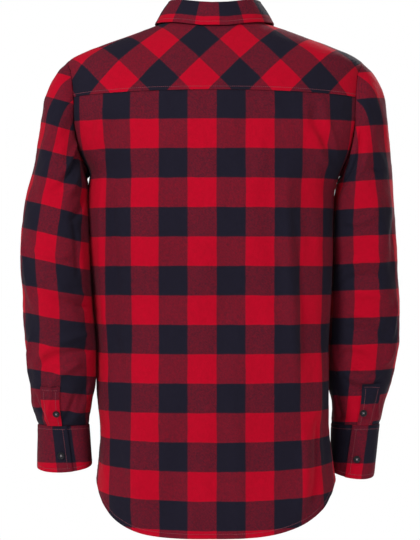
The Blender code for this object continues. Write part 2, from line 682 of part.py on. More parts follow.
def add_sleeve(side, rows, cuff, sleeve, walls, way_off):
    """A sleeve with its cuff, placket and two buttons; side 1 is the left, -1 the right."""
    flip = np.array([side, 1, 1])
    word = "left" if side > 0 else "right"
    normals = sleeve_normals(sleeve)
    normals[:, 0] = walls
    normals[:, -1] = unit(normals[:, -1] * np.array([1, 1, 0]))
    outer = sleeve.copy()
    outer[:, 0] += way_off * GAP
    add_wall(f"sleeve_{word}", outer * flip, (outer - normals * CLOTH) * flip, closed=True)

    first, last, rings = SLEEVE_PLACKET
    strip, facing = outer[first : last + 1, -rings - 1 :], normals[first : last + 1, -rings - 1 :]
    add_wall(f"sleeve_placket_{word}", (strip + facing * (GAP + CLOTH)) * flip, (strip + facing * GAP) * flip)

    share = np.arange(CUFF_AROUND + CUFF_OVERLAP + 1) / CUFF_AROUND
    top, bottom = ring(rows[-1], share + CUFF_EDGE[0]), ring(cuff, share + CUFF_EDGE[1])
    top[:, 2] -= GAP
    bottom[:, 2] -= CUFF_TILT * (bottom[:, 1] - cuff[4]) / cuff[5]
    share += CUFF_EDGE[1]
    level = unit(np.cross(ring(cuff, share + 0.01) - ring(cuff, share - 0.01), [0.0, 0.0, 1.0]))
    level *= np.sign((level * (bottom - bottom.mean(axis=0))).sum(axis=1).mean())
    dip = smoothstep((np.arange(len(share)) - (CUFF_AROUND - CUFF_OVERLAP)) / CUFF_OVERLAP) * CUFF_DIP
    band = np.stack([top + (bottom - top) * t for t in (0, 0.5, 1)], axis=1) - (level * dip[:, None])[:, None]
    add_wall(f"cuff_{word}", band * flip, (band - level[:, None] * DOUBLE) * flip, "plaid_bands")

    around, down = CUFF_BUTTON
    cell = int(around)
    z = band[cell, 0, 2] + (band[cell, -1, 2] - band[cell, 0, 2]) * down
    seat, axis = seat_on(band[cell : cell + 2], around % 1, z, level[cell])
    add_button(f"button_cuff_{word}", seat * flip, axis * flip)
    strip = strip + facing * (GAP + CLOTH)
    seat, axis = seat_on(strip[:2], SLEEVE_BUTTON[0], strip[0, -1, 2] + SLEEVE_BUTTON[1], facing[0, -1])
    add_button(f"button_sleeve_{word}", seat * flip, axis * flip)


def main():
    for obj in list(bpy.data.objects):
        bpy.data.objects.remove(obj)
    for mesh in list(bpy.data.meshes):
        bpy.data.meshes.remove(mesh)
    left, right = sleeve_grid(1, SLEEVE_LEFT), sleeve_grid(-1, SLEEVE_RIGHT)
    panel_walls, left_walls, left_off = armhole_walls(left)
    _, right_walls, right_off = armhole_walls(right)
    add_body(panel_walls)
    add_stand()
    add_leaf()
    add_sleeve(1, SLEEVE_LEFT, CUFF_LEFT, left, left_walls, left_off)
    add_sleeve(-1, SLEEVE_RIGHT, CUFF_RIGHT, right, right_walls, right_off)


main()
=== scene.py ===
"""Looks of the flannel shirt: thin creased cloth on the frame's form, plaid, topstitching and buttons.

Lengths are in millimetres and become metres as each mesh is made. +Z is up, the front faces -Y and the
wearer's left is +X. Cloth coordinates p (across the piece) and q (down it) are in millimetres of flat cloth.
They are kept in each mesh's UV layer, divided by a plaid square's size, so that the even squares are red and
the odd ones dark. The form's tables repeat the solids', but the sleeves' inner sides and the upper torso lie
closer together here, by up to 10 mm.
"""

import math

import bpy
import numpy as np
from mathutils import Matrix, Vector


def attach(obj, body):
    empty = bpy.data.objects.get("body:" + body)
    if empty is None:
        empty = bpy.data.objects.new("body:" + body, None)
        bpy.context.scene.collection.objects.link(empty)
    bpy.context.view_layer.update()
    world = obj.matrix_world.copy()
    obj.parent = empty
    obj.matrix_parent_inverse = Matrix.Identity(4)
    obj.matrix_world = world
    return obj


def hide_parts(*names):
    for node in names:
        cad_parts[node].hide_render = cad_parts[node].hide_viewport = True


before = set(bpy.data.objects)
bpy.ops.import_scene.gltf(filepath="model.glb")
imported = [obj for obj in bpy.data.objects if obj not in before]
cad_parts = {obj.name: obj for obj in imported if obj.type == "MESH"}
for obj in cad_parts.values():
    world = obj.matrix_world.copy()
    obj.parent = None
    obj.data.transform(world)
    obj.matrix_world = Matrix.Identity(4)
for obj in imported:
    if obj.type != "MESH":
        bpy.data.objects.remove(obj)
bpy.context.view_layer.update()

MM = 0.001

# ---- the form, as the solids are cut ----

CLOTH = 1.5            # one layer of flannel
DOUBLE = 2.2           # two layers and interlining, in collar and cuffs
GAP = 0.3              # between pieces at a seam
SHOULDER_TIP = -50.0   # height of the shoulder ridge at the armhole
ARMPIT = -228.0        # height of the armhole's lowest point
ARMHOLE_HALF_WIDTH = 54.0
NECK_HALF_WIDTH = 72.0
NECK_BACK = 58.0       # from the origin back to the neck seam
NECK_FRONT = 56.0      # from the origin forward to the neck seam
NECK_HEIGHTS = (1.0, 9.0, -60.0)    # of the neck seam at the back, sides and front
YOKE_BACK = -102.5     # height of the yoke's back seam in the middle
YOKE_BACK_FALL = 7.0   # of that seam from the middle to the armhole
YOKE_FRONT_TURN = 106.6             # degrees round the neck from the back to the front yoke seam
YOKE_FRONT_END = -72.0 # height of that seam at the armhole
HEM_SIDE = -696.0      # height of the hem at the side seams
HEM_BACK = -773.0      # and in the middle of the back
HEM_FRONT = -757.0     # and in the middle of the front
HEM_CURVE = (0.93, 1.8)             # where the tail's curve ends, of the way to the side seam, and its power
HEM_TURN = 0.07        # turn in radians by which the tails' lowest points lie towards the left
PLACKET_HALF = 16.0    # half the front placket's width
UNDERLAP = CLOTH + 0.4 # how far the right front dips to pass under the left

# Columns: z, half_width, back, front, squareness, shift
TORSO = [
    (45, 66, 50, 30, 2.1, 0),
    (9, 74, 55, 22, 2.1, 0),
    (-10, 124, 66, 31, 2.15, 0),
    (-30, 178, 78, 43, 2.2, 0),
    (-50, 222, 88, 56, 2.25, 0),
    (-75, 228, 98, 74, 2.4, 0),
    (-110, 229, 107, 93, 2.5, 0),
    (-150, 226, 112, 107, 2.6, 0),
    (-190, 214, 114, 116, 2.6, 0),
    (-228, 192, 114, 119, 2.6, 0),
    (-240, 190.5, 114, 119, 2.6, 3.5),
    (-252, 190.5, 114, 119, 2.6, 6.5),
    (-275, 191, 113, 119, 2.6, 8),
    (-330, 191, 111, 118, 2.55, 8.5),
    (-400, 186.5, 108, 116, 2.5, 6),
    (-480, 180, 106, 115, 2.5, 4.5),
    (-560, 178, 106, 115, 2.5, 3),
    (-620, 176, 107, 116, 2.5, 0),
    (-690, 183, 109, 117, 2.45, -2),
    (-800, 184, 111, 118, 2.4, -3),
]

# Columns: angle_0, z_0, angle_1, z_1, half_width, crest, trough
FOLDS = [
    (-32, -225, -41, -500, 15, 4.5, 3.0),
    (55, -215, 53, -500, 18, 2.0, 4.0),
    (-58, -560, -46, -700, 22, 3.0, 4.5),
    (20, -560, 26, -720, 24, 2.5, 1.5),
    (150, -300, 142, -620, 20, 3.5, 2.0),
    (-146, -330, -138, -640, 22, 3.5, 2.5),
]

# Columns: outer_x, outer_z, inner_x, inner_z, y, half_depth, squareness
SLEEVE_LEFT = [
    (240, -69, 196.0, -234, 5, 60, 2.1),
    (255, -102, 192.0, -241, 11, 65, 2.2),
    (264, -144, 190.5, -252, 18, 69, 2.3),
    (274, -200, 190.5, -271, 25, 72, 2.3),
    (286, -265, 189.0, -300, 33, 72, 2.3),
    (294.5, -340, 188.5, -352, 39, 69, 2.3),
    (292, -410, 186.0, -415, 40, 63, 2.3),
    (287.5, -470, 181.0, -474, 36, 57, 2.3),
    (283.5, -530, 179.5, -531, 28, 52, 2.3),
    (279.5, -576, 187.5, -576, 18, 46, 2.2),
    (271, -609, 192.0, -609, 10, 37, 2.1),
]
SLEEVE_RIGHT = [
    (243, -70, 196.0, -234, -2, 60, 2.1),
    (259, -100, 188.0, -242, -6, 65, 2.2),
    (265.5, -143, 185.0, -254, -10, 69, 2.3),
    (272, -205, 181.5, -273, -16, 72, 2.3),
    (279, -275, 177.0, -305, -24, 72, 2.3),
    (284.5, -345, 175.5, -355, -31, 69, 2.3),
    (288.5, -420, 177.0, -422, -36, 63, 2.3),
    (288, -480, 174.0, -480, -40, 57, 2.3),
    (278.5, -540, 175.0, -540, -43, 51, 2.3),
    (265.5, -583, 182.5, -583, -45, 45, 2.2),
    (258, -612, 182.0, -612, -46, 39, 2.1),
]
CUFF_LEFT = (272.5, -674, 187.5, -670, 6, 37, 2.1)
CUFF_RIGHT = (250, -691, 181.0, -683, -52, 41, 2.1)
CUFF_TILT = 8.5        # how far the cuff's lower edge hangs at the back below its sides
CUFF_EDGE = (0.22, 0.19)            # of a turn from the inner point to the outer end's top and bottom
CUFF_OVERLAP = 3 / 27  # of a turn that runs on under the outer end, and over which it dips
CUFF_DIP = DOUBLE + 0.7
SLEEVE_CLEARANCE = 1.8 # from the form to a sleeve that hangs against it
SLEEVE_FREE = (-230.0, -246.0)      # heights between which that clearance begins
SLEEVE_PLACKET_SPAN = (0.25, 0.35)  # of a turn
SLEEVE_PLACKET_HEIGHT = 68.0

STAND_HEIGHT = (27.5, 26.0)         # of the collar stand at the back and at the front
STAND_LEAN = 0.93      # size of the stand's top edge as a share of its foot
STAND_DIP = DOUBLE + 0.4
FOLD_RADIUS = 1.2      # inside the collar's fold
COLLAR_BACK = (67.0, -2.5)          # y and z of the collar's edge at the back
COLLAR_SIDE = 92.0     # x of its edge at the side
COLLAR_POINT = (57.0, -92.0)        # x and y of the left collar point
COLLAR_LEAF_END = 6.0  # x of the leaf's front end on the stand
COLLAR_CLEARANCE = DOUBLE + 1.8     # from the form to the collar's outer face

# ---- finish ----

SQUARE = 43.2          # width of a plaid square
ROW = 43.85            # and its height
CUFF_ROW = 60.0        # and its height on the cuffs
LEAF_SQUARE = 38.2     # width of a square on the collar leaf
RED = (0.262, 0.0005, 0.0095)
DARK = (0.0066, 0.0058, 0.0115)
THREAD = (0.11, 0.012, 0.022)
BUTTON_THREAD = (0.16, 0.14, 0.15)
HORN = (0.005, 0.0048, 0.007)
HEM_WIDTH = 7.0        # of the turned hem at the tails
STITCH = (3.1, 2.2, 0.34)           # pitch, length and radius of the topstitching

# ---- mesh cells ----

BACK_ACROSS, SIDE_ROWS, ARMHOLE_BACK, ARMHOLE_YOKE, ARMHOLE_FRONT = 168, 150, 48, 48, 68
SHOULDER_CELLS = 44
NECK_CELLS = 22
PLACKET_CELLS = 16
HEM_CELLS = SHOULDER_CELLS + NECK_CELLS
SLEEVE_CELLS = 216
CUFF_AROUND = 135
CUFF_UP = 26
DENSE = 1200


# ---- curves and tables ----

def smooth(at, knots, values):
    """The smooth curve through the values at rising knots, held at both ends."""
    at = np.clip(np.asarray(at, float), knots[0], knots[-1])
    slopes = np.gradient(values, knots, axis=0)
    i = np.clip(np.searchsorted(knots, at, side="right") - 1, 0, len(knots) - 2)
    width = knots[i + 1] - knots[i]
    t = (at - knots[i]) / width
    extra = (None,) * (values.ndim - 1)
    t, width = t[(...,) + extra], width[(...,) + extra]
    return (
        values[i] * (1 + 2 * t) * (1 - t) ** 2
        + values[i + 1] * t * t * (3 - 2 * t)
        + slopes[i] * width * t * (1 - t) ** 2
        + slopes[i + 1] * width * t * t * (t - 1)
    )


def smoothstep(x):
    x = np.clip(x, 0, 1)
    return x * x * (3 - 2 * x)


def unit(v):
    return v / np.maximum(np.linalg.norm(v, axis=-1, keepdims=True), 1e-9)


def run_length(points):
    """The length along a polyline (or along the first axis of a grid) up to each of its points."""
    steps = np.linalg.norm(np.diff(points, axis=0), axis=-1)
    return np.concatenate([np.zeros((1,) + steps.shape[1:]), np.cumsum(steps, axis=0)])


def shares_of(points):
    length = run_length(points)
    return length / length[-1]


def along(points, shares):
    """Points at these shares of a polyline's length."""
    at = shares_of(points)
    return np.stack([np.interp(shares, at, points[:, k]) for k in range(3)], axis=1)


def evenly(points, cells):
    return along(points, np.linspace(0, 1, cells + 1))


def mirrored(points):
    return points * np.array([-1, 1, 1])


# ---- the form ----

HEIGHTS = np.array([row[0] for row in TORSO], float)[::-1]
SECTIONS = np.array([row[1:] for row in TORSO], float)[::-1]


def section(z):
    """Half width, back, front, squareness and shift of the form at height z."""
    return np.moveaxis(smooth(z, HEIGHTS, SECTIONS), -1, 0)


def on_form(angle, z):
    """The form's points at an angle in radians and a height."""
    half, back, front, power, shift = section(z)
    s, c = np.sin(angle), np.cos(angle)
    reach = (np.abs(s) ** power + np.abs(c) ** power) ** (-1 / power)
    deep = np.where(c > 0, back, front)
    return np.stack([shift + half * s * reach, deep * c * reach, z + 0 * angle], axis=-1)


def across_form(x, z, side):
    """The form's points at x and z, at the back (side 1) or the front (side -1)."""
    half, back, front, power, shift = section(z)
    x = np.broadcast_to(x, half.shape)
    depth = (1 - np.minimum(np.abs(x - shift) / half, 1) ** power) ** (1 / power)
    return np.stack([x, side * depth * (back if side > 0 else front), z + 0 * x], axis=-1)


def outside(points):
    """Below 0 inside the form, 0 on it and above 0 outside it."""
    half, back, front, power, shift = section(points[..., 2])
    x = np.abs(points[..., 0] - shift) / half
    y = np.abs(points[..., 1]) / np.where(points[..., 1] > 0, back, front)
    return (x ** power + y ** power) ** (1 / power) - 1


def slope(points, step=0.5):
    rises = [outside(points + d) - outside(points - d) for d in step * np.eye(3)]
    return np.stack([rise / (2 * step) for rise in rises], axis=-1)


def outwards(points):
    return unit(slope(points))


def height_over_form(points):
    return outside(points) / np.linalg.norm(slope(points), axis=-1)


def onto_form(points, rounds=7):
    """The points moved to the form along its own slope."""
    points = np.array(points, float)
    for _ in range(rounds):
        points = points - outwards(points) * height_over_form(points)[..., None]
    return points


def lifted(points, clearance, rounds=8):
    """Points that lie closer to the form than the clearance, moved out to it."""
    points = np.array(points, float)
    for _ in range(rounds):
        short = np.maximum(clearance - height_over_form(points), 0)
        points = points + outwards(points) * short[..., None]
    return points


def turn_of(points):
    """Degrees round the form: 0 is the middle of the back, 90 the left side."""
    half, back, front, _, shift = section(points[..., 2])
    y = points[..., 1] / np.where(points[..., 1] > 0, back, front)
    return np.degrees(np.arctan2((points[..., 0] - shift) / half, y))


def fold_height(points):
    """How far the body's broad folds stand out of the form at each of its points."""
    turn = turn_of(points)
    total = 0 * turn
    for angle_0, z_0, angle_1, z_1, half_width, crest, trough in FOLDS:
        t = (points[..., 2] - z_0) / (z_1 - z_0)
        fade = smoothstep((t + 0.25) / 0.5) * smoothstep((1.25 - t) / 0.5)
        off = np.radians(turn - angle_0 - (angle_1 - angle_0) * t) * 150 / half_width
        total = total + fade * (crest * np.exp(-off * off) - trough * np.exp(-(off + 1.7) ** 2))
    return total


# ---- seams, for the left half ----

def armhole_half(side):
    """The armhole from the armpit up to the shoulder tip, at the back (side 1) or the front (side -1)."""
    turn = np.linspace(0, math.pi, DENSE)
    z = (ARMPIT + SHOULDER_TIP) / 2 + (ARMPIT - SHOULDER_TIP) / 2 * np.cos(turn)
    y = side * ARMHOLE_HALF_WIDTH * np.sin(turn)
    half, back, front, power, _ = section(z)
    x = half * (1 - (np.abs(y) / (back if side > 0 else front)) ** power) ** (1 / power)
    return np.stack([x, y, z], axis=1)


def yoke_back_height(x):
    return YOKE_BACK - YOKE_BACK_FALL * (x / 216) ** 2


def armhole():
    """The armhole's points from the armpit up the back, over the yoke, and down the front to the armpit."""
    back, front = armhole_half(1), armhole_half(-1)
    i = int(np.argmax(back[:, 2] > yoke_back_height(back[:, 0])))
    j = int(np.argmax(front[:, 2] > YOKE_FRONT_END))
    over = np.concatenate([back[i:], front[j:-1][::-1]])
    return (evenly(back[: i + 1], ARMHOLE_BACK), evenly(over, ARMHOLE_YOKE),
            evenly(front[: j + 1][::-1], ARMHOLE_FRONT))


def neck(turn):
    """The neck seam at a turn in radians from the back."""
    turn = np.asarray(turn, float)
    s, c = np.sin(turn), np.cos(turn)
    back, side, front = NECK_HEIGHTS
    z = side + np.where(c > 0, (back - side) * np.abs(c) ** 2, (front - side) * np.abs(c) ** 1.6)
    deep = np.where(c > 0, NECK_BACK, NECK_FRONT)
    return onto_form(np.stack([NECK_HALF_WIDTH * s, deep * c, z], axis=-1), 12)


PLACKET = np.linspace(-PLACKET_HALF, PLACKET_HALF, PLACKET_CELLS + 1)
CORNER = math.radians(YOKE_FRONT_TURN)
FRONT_TURNS = np.concatenate([
    math.pi - np.arcsin(PLACKET / NECK_HALF_WIDTH),
    np.linspace(math.pi - math.asin(PLACKET_HALF / NECK_HALF_WIDTH), CORNER, NECK_CELLS + 1)[1:],
])
BACK_TURNS = np.linspace(-CORNER, CORNER, BACK_ACROSS - 2 * SHOULDER_CELLS + 1)


def shoulder_seam():
    """The front yoke seam from the neck to the armhole."""
    start, end = neck(CORNER), armhole()[2][0]
    line = onto_form(start + (end - start) * np.linspace(0, 1, DENSE)[:, None], 12)
    line[0], line[-1] = start, end
    return evenly(line, SHOULDER_CELLS)


def back_seam():
    """The seam between back and yoke, from the right armhole to the left."""
    end = armhole()[0][-1]
    across = np.linspace(-end[0], end[0], DENSE)
    line = across_form(across, yoke_back_height(across), 1)
    line[0], line[-1] = mirrored(end), end
    return evenly(line, BACK_ACROSS)


def side_seam(side):
    """The side seam from the hem up to the armpit; side 1 is the left."""
    z = np.linspace(HEM_SIDE, ARMPIT, SIDE_ROWS + 1)
    return on_form(np.full(z.shape, side * math.pi / 2), z)


def hem(middle, angle):
    """Hem points at angles on the form, with the middle of their panel at this height."""
    end, power = HEM_CURVE
    share = np.abs(2 / math.pi * np.arcsin(np.clip(np.sin(angle - HEM_TURN * np.cos(angle)), -1, 1)))
    return on_form(angle, middle + (HEM_SIDE - middle) * smoothstep((share / end) ** power))


# ---- grids [across, up, xyz] ----

def coons(bottom, top, left, right):
    """A grid between four edges. bottom and top run left to right, left and right run up."""
    u = (shares_of(bottom) + shares_of(top))[:, None, None] / 2
    v = (shares_of(left) + shares_of(right))[None, :, None] / 2
    return (
        (1 - v) * bottom[:, None] + v * top[:, None] + (1 - u) * left[None] + u * right[None]
        - (1 - u) * (1 - v) * bottom[0] - u * (1 - v) * bottom[-1] - (1 - u) * v * top[0] - u * v * top[-1]
    )


def panel(bottom, top, left, right):
    grid = coons(bottom, top, left, right)
    grid[1:-1, 1:-1] = onto_form(grid[1:-1, 1:-1])
    return grid


def back_grid():
    left, right = (np.concatenate([side_seam(s), armhole()[0][1:] * np.array([s, 1, 1])]) for s in (-1, 1))
    line = hem(HEM_BACK, np.linspace(-math.pi / 2, math.pi / 2, DENSE))
    return panel(evenly(line, BACK_ACROSS), back_seam(), left, right)


def yoke_grid():
    shoulder = shoulder_seam()
    top = np.concatenate([mirrored(shoulder)[::-1], neck(BACK_TURNS)[1:-1], shoulder])
    return panel(back_seam(), top, mirrored(armhole()[1]), armhole()[1])


def front_grid(side):
    """A front's grid, from the centre edge to the side and armhole; side 1 is the left front."""
    flip = np.array([side, 1, 1])
    right = np.concatenate([side_seam(side), (armhole()[2][::-1] * flip)[1:]])
    top = np.concatenate([neck(FRONT_TURNS), shoulder_seam()[1:]]) * flip
    line = hem(HEM_FRONT, math.pi - side * np.linspace(-0.3, math.pi / 2, DENSE))
    placket = side * PLACKET
    strip = np.stack([np.interp(side * placket, side * line[:, 0], line[:, k]) for k in range(3)], axis=1)
    rest = line[side * line[:, 0] > PLACKET_HALF]
    bottom = np.concatenate([strip, evenly(np.concatenate([strip[-1:], rest]), HEM_CELLS)[1:]])
    heights = np.interp(right[:, 2], [HEM_SIDE, ARMPIT, YOKE_FRONT_END], [bottom[0, 2], ARMPIT, top[0, 2]])
    left = across_form(placket[0], heights, -1)
    left[0], left[-1] = bottom[0], top[0]
    grid = panel(bottom, top, left, right)
    for i in range(len(PLACKET)):
        grid[i, 1:-1] = across_form(placket[i], grid[i, 1:-1, 2], -1)
    return grid


def ring(row, shares):
    """A sleeve's ring at these shares of a turn, from its inner point round the back."""
    outer_x, outer_z, inner_x, inner_z, y, half_depth, power = row
    middle = np.array([(outer_x + inner_x) / 2, y, (outer_z + inner_z) / 2])
    across = np.array([outer_x - inner_x, 0, outer_z - inner_z]) / 2
    turn = np.linspace(0, 2 * math.pi, DENSE)
    s, c = np.sin(turn), np.cos(turn)
    reach = (np.abs(s) ** power + np.abs(c) ** power) ** (-1 / power)
    line = middle - across * (c * reach)[:, None] + np.array([0, half_depth, 0]) * (s * reach)[:, None]
    return along(line, np.asarray(shares) % 1)


def sleeve_grid(side, rows):
    """A sleeve's outer face [around, along], beginning at the armhole. Its points are even by the cuff."""
    back, yoke, front = armhole()
    loop = np.concatenate([back, yoke[1:], front[1:-1]])
    start = shares_of(np.concatenate([loop, loop[:1]]))[:-1]
    even = np.arange(len(loop)) / len(loop)
    share = np.arange(1, len(rows) + 1) / len(rows)
    stations = np.stack([loop] + [ring(row, start + (even - start) * t) for row, t in zip(rows, share)])
    at = np.arange(len(stations), dtype=float)
    grid = np.moveaxis(smooth(np.linspace(0, at[-1], SLEEVE_CELLS + 1), at, stations), 0, 1)
    high, low = SLEEVE_FREE
    flip = np.array([side, 1, 1])
    return lifted(grid * flip, SLEEVE_CLEARANCE * smoothstep((high - grid[..., 2]) / (high - low))) * flip


def tube_normals(grid):
    """Unit normals of a closed grid [around, along], facing away from its axis."""
    normals = unit(np.cross(np.roll(grid, -1, axis=0) - np.roll(grid, 1, axis=0), np.gradient(grid, axis=1)))
    away = grid - grid.mean(axis=0, keepdims=True)
    return normals * np.sign((normals * away).sum(axis=-1).mean())


def sheet_normals(grid, facing):
    """Unit normals of an open grid, turned to the side that facing (one direction a point) is on."""
    normals = unit(np.cross(np.gradient(grid, axis=0), np.gradient(grid, axis=1)))
    return normals * np.sign((normals * facing).sum(axis=-1).mean())


# ---- creases ----

def noise(p, q, pitch_p, pitch_q, seed):
    """Smooth noise from -1 to 1 whose hills are a pitch across and a pitch down."""
    table = np.random.default_rng(seed).uniform(-1, 1, (64, 64))
    x, y = p / pitch_p + 20.37, q / pitch_q + 20.71
    i, j = np.floor(x).astype(int), np.floor(y).astype(int)
    fx, fy = smoothstep(x - i), smoothstep(y - j)

    def at(a, b):
        return table[a % 64, b % 64]

    return ((1 - fx) * (1 - fy) * at(i, j) + fx * (1 - fy) * at(i + 1, j)
            + (1 - fx) * fy * at(i, j + 1) + fx * fy * at(i + 1, j + 1))


# Columns: p_0, q_0, p_1, q_1, bow, half_width, height


def creases(p, q, rows):
    """The height of the listed creases: ridges above 0 and troughs below 0, along bowed lines in p and q."""
    total = np.zeros(np.broadcast(p, q).shape)
    for p_0, q_0, p_1, q_1, bow, half_width, height in rows:
        length = math.hypot(p_1 - p_0, q_1 - q_0)
        a, b = (p_1 - p_0) / length, (q_1 - q_0) / length
        t = ((p - p_0) * a + (q - q_0) * b) / length
        off = (q - q_0) * a - (p - p_0) * b - bow * 4 * t * (1 - t)
        width = half_width * (0.75 + 0.5 * np.clip(t, 0, 1))
        fade = smoothstep((t + 0.12) / 0.34) * smoothstep((1.12 - t) / 0.34)
        total = total + height * fade * np.exp(-(off / width) ** 2)
    return total


def edge_distance(points, line):
    """The distance from each point to the nearest point of a line."""
    flat = points.reshape(-1, 3)
    best = np.full(len(flat), np.inf)
    for start in range(0, len(line), 64):
        gap = flat[:, None] - line[None, start : start + 64]
        best = np.minimum(best, np.einsum("abc,abc->ab", gap, gap).min(axis=1))
    return np.sqrt(best).reshape(points.shape[:-1])


def pucker(distance, run, seed, height=0.55, reach=9.0):
    """The small ripples that a seam's stitching draws into the cloth beside it."""
    ripple = noise(run, 0 * run, 7.0, 1.0, seed) + 0.5 * noise(run, 0 * run, 3.1, 1.0, seed + 1)
    return height * ripple * np.exp(-(distance / reach) ** 2) - 0.35 * np.exp(-(distance / 2.0) ** 2)


# ---- meshes ----

def wall_quads(across, up, closed):
    """Quads of a wall between two grids, and for each quad's corners the column it counts as (unwrapped)."""
    cells = across if closed else across - 1
    i, j = (a.ravel() for a in np.meshgrid(np.arange(cells), np.arange(up - 1), indexing="ij"))
    count = across * up

    def at(layer, column, row):
        return layer * count + (column % across) * up + row

    def uv_at(column, row):
        return column * up + row

    def quads(corners):
        return (np.stack([at(layer, c, r) for layer, c, r in corners], axis=1),
                np.stack([uv_at(c, r) for _, c, r in corners], axis=1))

    parts = [quads([(0, i, j), (0, i + 1, j), (0, i + 1, j + 1), (0, i, j + 1)]),
             quads([(1, i, j), (1, i, j + 1), (1, i + 1, j + 1), (1, i + 1, j)])]
    k = np.arange(cells)
    zero, last = 0 * k, 0 * k + up - 1
    parts += [quads([(0, k + 1, zero), (0, k, zero), (1, k, zero), (1, k + 1, zero)]),
              quads([(0, k, last), (0, k + 1, last), (1, k + 1, last), (1, k, last)])]
    if not closed:
        k = np.arange(up - 1)
        zero, last = 0 * k, 0 * k + across - 1
        parts += [quads([(0, zero, k), (0, zero, k + 1), (1, zero, k + 1), (1, zero, k)]),
                  quads([(0, last, k + 1), (0, last, k), (1, last, k), (1, last, k + 1)])]
    return np.concatenate([a for a, _ in parts]), np.concatenate([b for _, b in parts])


def new_object(name, points, faces, material, corner_uv=None):
    mesh = bpy.data.meshes.new(name)
    mesh.from_pydata((np.asarray(points) * MM).tolist(), [], np.asarray(faces).tolist())
    if corner_uv is not None:
        layer = mesh.uv_layers.new(name="cloth")
        layer.data.foreach_set("uv", np.asarray(corner_uv, np.float32).ravel())
    mesh.materials.append(material)
    mesh.shade_smooth()
    mesh.set_sharp_from_angle(angle=math.radians(60))
    obj = bpy.data.objects.new(name, mesh)
    bpy.context.scene.collection.objects.link(obj)
    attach(obj, "root")
    return obj


def cloth(node, outer, normals, thickness, p, q, uv, material, closed=False):
    """A cloth piece that replaces a node: a wall inwards from the grid outer.

    p and q give each point's flat place in millimetres. uv(p, q) gives its place in the plaid. A closed
    grid's p and q have one more column than its points, where the last one comes round to the first.
    """
    inner = outer - normals * thickness
    across, up = outer.shape[:2]
    faces, corners = wall_quads(across, up, closed)
    facing = np.cross(outer[1, 0] - outer[0, 0], outer[0, 1] - outer[0, 0]) @ normals[0, 0]
    if facing < 0:
        faces, corners = faces[:, ::-1], corners[:, ::-1]
    plaid = np.stack(uv(p, q), axis=-1).reshape(-1, 2)
    points = np.concatenate([outer.reshape(-1, 3), inner.reshape(-1, 3)])
    obj = new_object(f"cloth_{node}", points, faces, material, plaid[corners])
    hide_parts(node)
    loop = np.concatenate([outer, outer[:1]]) if closed else outer
    side_a, side_b = loop[1:, :-1] - loop[:-1, :-1], loop[:-1, 1:] - loop[:-1, :-1]
    area = np.linalg.norm(np.cross(side_a, side_b), axis=-1).sum() * MM * MM
    width, length = float(np.ptp(p)) * MM, float(np.ptp(q)) * MM
    area = min(max(float(area), 0.31 * width * length), width * length)
    return obj


def stitching(name, line, normals, material):
    """A row of topstitches along a line on cloth with these normals, as small spindles in one mesh."""
    pitch, length, radius = STITCH
    total = run_length(line)[-1]
    count = max(int(total / pitch), 1)
    middle = (np.arange(count) + 0.5) / count
    half = length / 2 / total
    start, end = along(line, middle - half), along(line, middle + half)
    at = shares_of(line)
    up = unit(np.stack([np.interp(middle, at, normals[:, k]) for k in range(3)], axis=1))
    side = unit(np.cross(end - start, up))
    profile = [(0.0, -0.05, 0.25), (0.22, 0.6, 1.0), (0.78, 0.6, 1.0), (1.0, -0.05, 0.25)]
    rings = []
    for share, lift, size in profile:
        centre = start + (end - start) * share + up * radius * lift
        rings.append(np.stack([centre + side * radius * size * c + up * radius * size * 0.7 * s
                               for c, s in ((1, 0), (0.3, 1), (-0.3, 1), (-1, 0), (0, -0.6))], axis=1))
    points = np.stack(rings, axis=1)
    sides = points.shape[2]
    faces = []
    for k in range(len(profile) - 1):
        for s in range(sides):
            t = (s + 1) % sides
            faces.append([k * sides + s, k * sides + t, (k + 1) * sides + t, (k + 1) * sides + s])
    faces = (np.arange(count)[:, None, None] * sides * len(profile) + np.array(faces)[None]).reshape(-1, 4)
    return new_object(name, points.reshape(-1, 3), faces, material)


# ---- materials ----

class Nodes:
    """Adds shader nodes by short calls."""

    def __init__(self, material):
        self.tree = material.node_tree
        self.shader = self.tree.nodes["Principled BSDF"]

    def add(self, kind, **settings):
        node = self.tree.nodes.new(kind)
        for key, value in settings.items():
            setattr(node, key, value)
        return node

    def put(self, socket, value):
        if isinstance(value, bpy.types.NodeSocket):
            self.tree.links.new(value, socket)
        else:
            socket.default_value = value

    def math(self, operation, *values, clamp=False):
        node = self.add("ShaderNodeMath", operation=operation, use_clamp=clamp)
        for socket, value in zip(node.inputs, values):
            self.put(socket, value)
        return node.outputs[0]

    def noise(self, vector, scale, detail=2.0, roughness=0.5):
        node = self.add("ShaderNodeTexNoise")
        self.put(node.inputs["Vector"], vector)
        for key, value in (("Scale", scale), ("Detail", detail), ("Roughness", roughness)):
            self.put(node.inputs[key], value)
        return node.outputs["Fac"]

    def mix(self, factor, a, b, blend="MIX"):
        node = self.add("ShaderNodeMix", data_type="RGBA", blend_type=blend)
        self.put(node.inputs[0], factor)
        self.put(node.inputs[6], a)
        self.put(node.inputs[7], b)
        return node.outputs[2]

    def bump(self, height, strength, distance, normal=None):
        node = self.add("ShaderNodeBump")
        for key, value in (("Height", height), ("Strength", strength), ("Distance", distance)):
            self.put(node.inputs[key], value)
        if normal is not None:
            self.put(node.inputs["Normal"], normal)
        return node.outputs["Normal"]


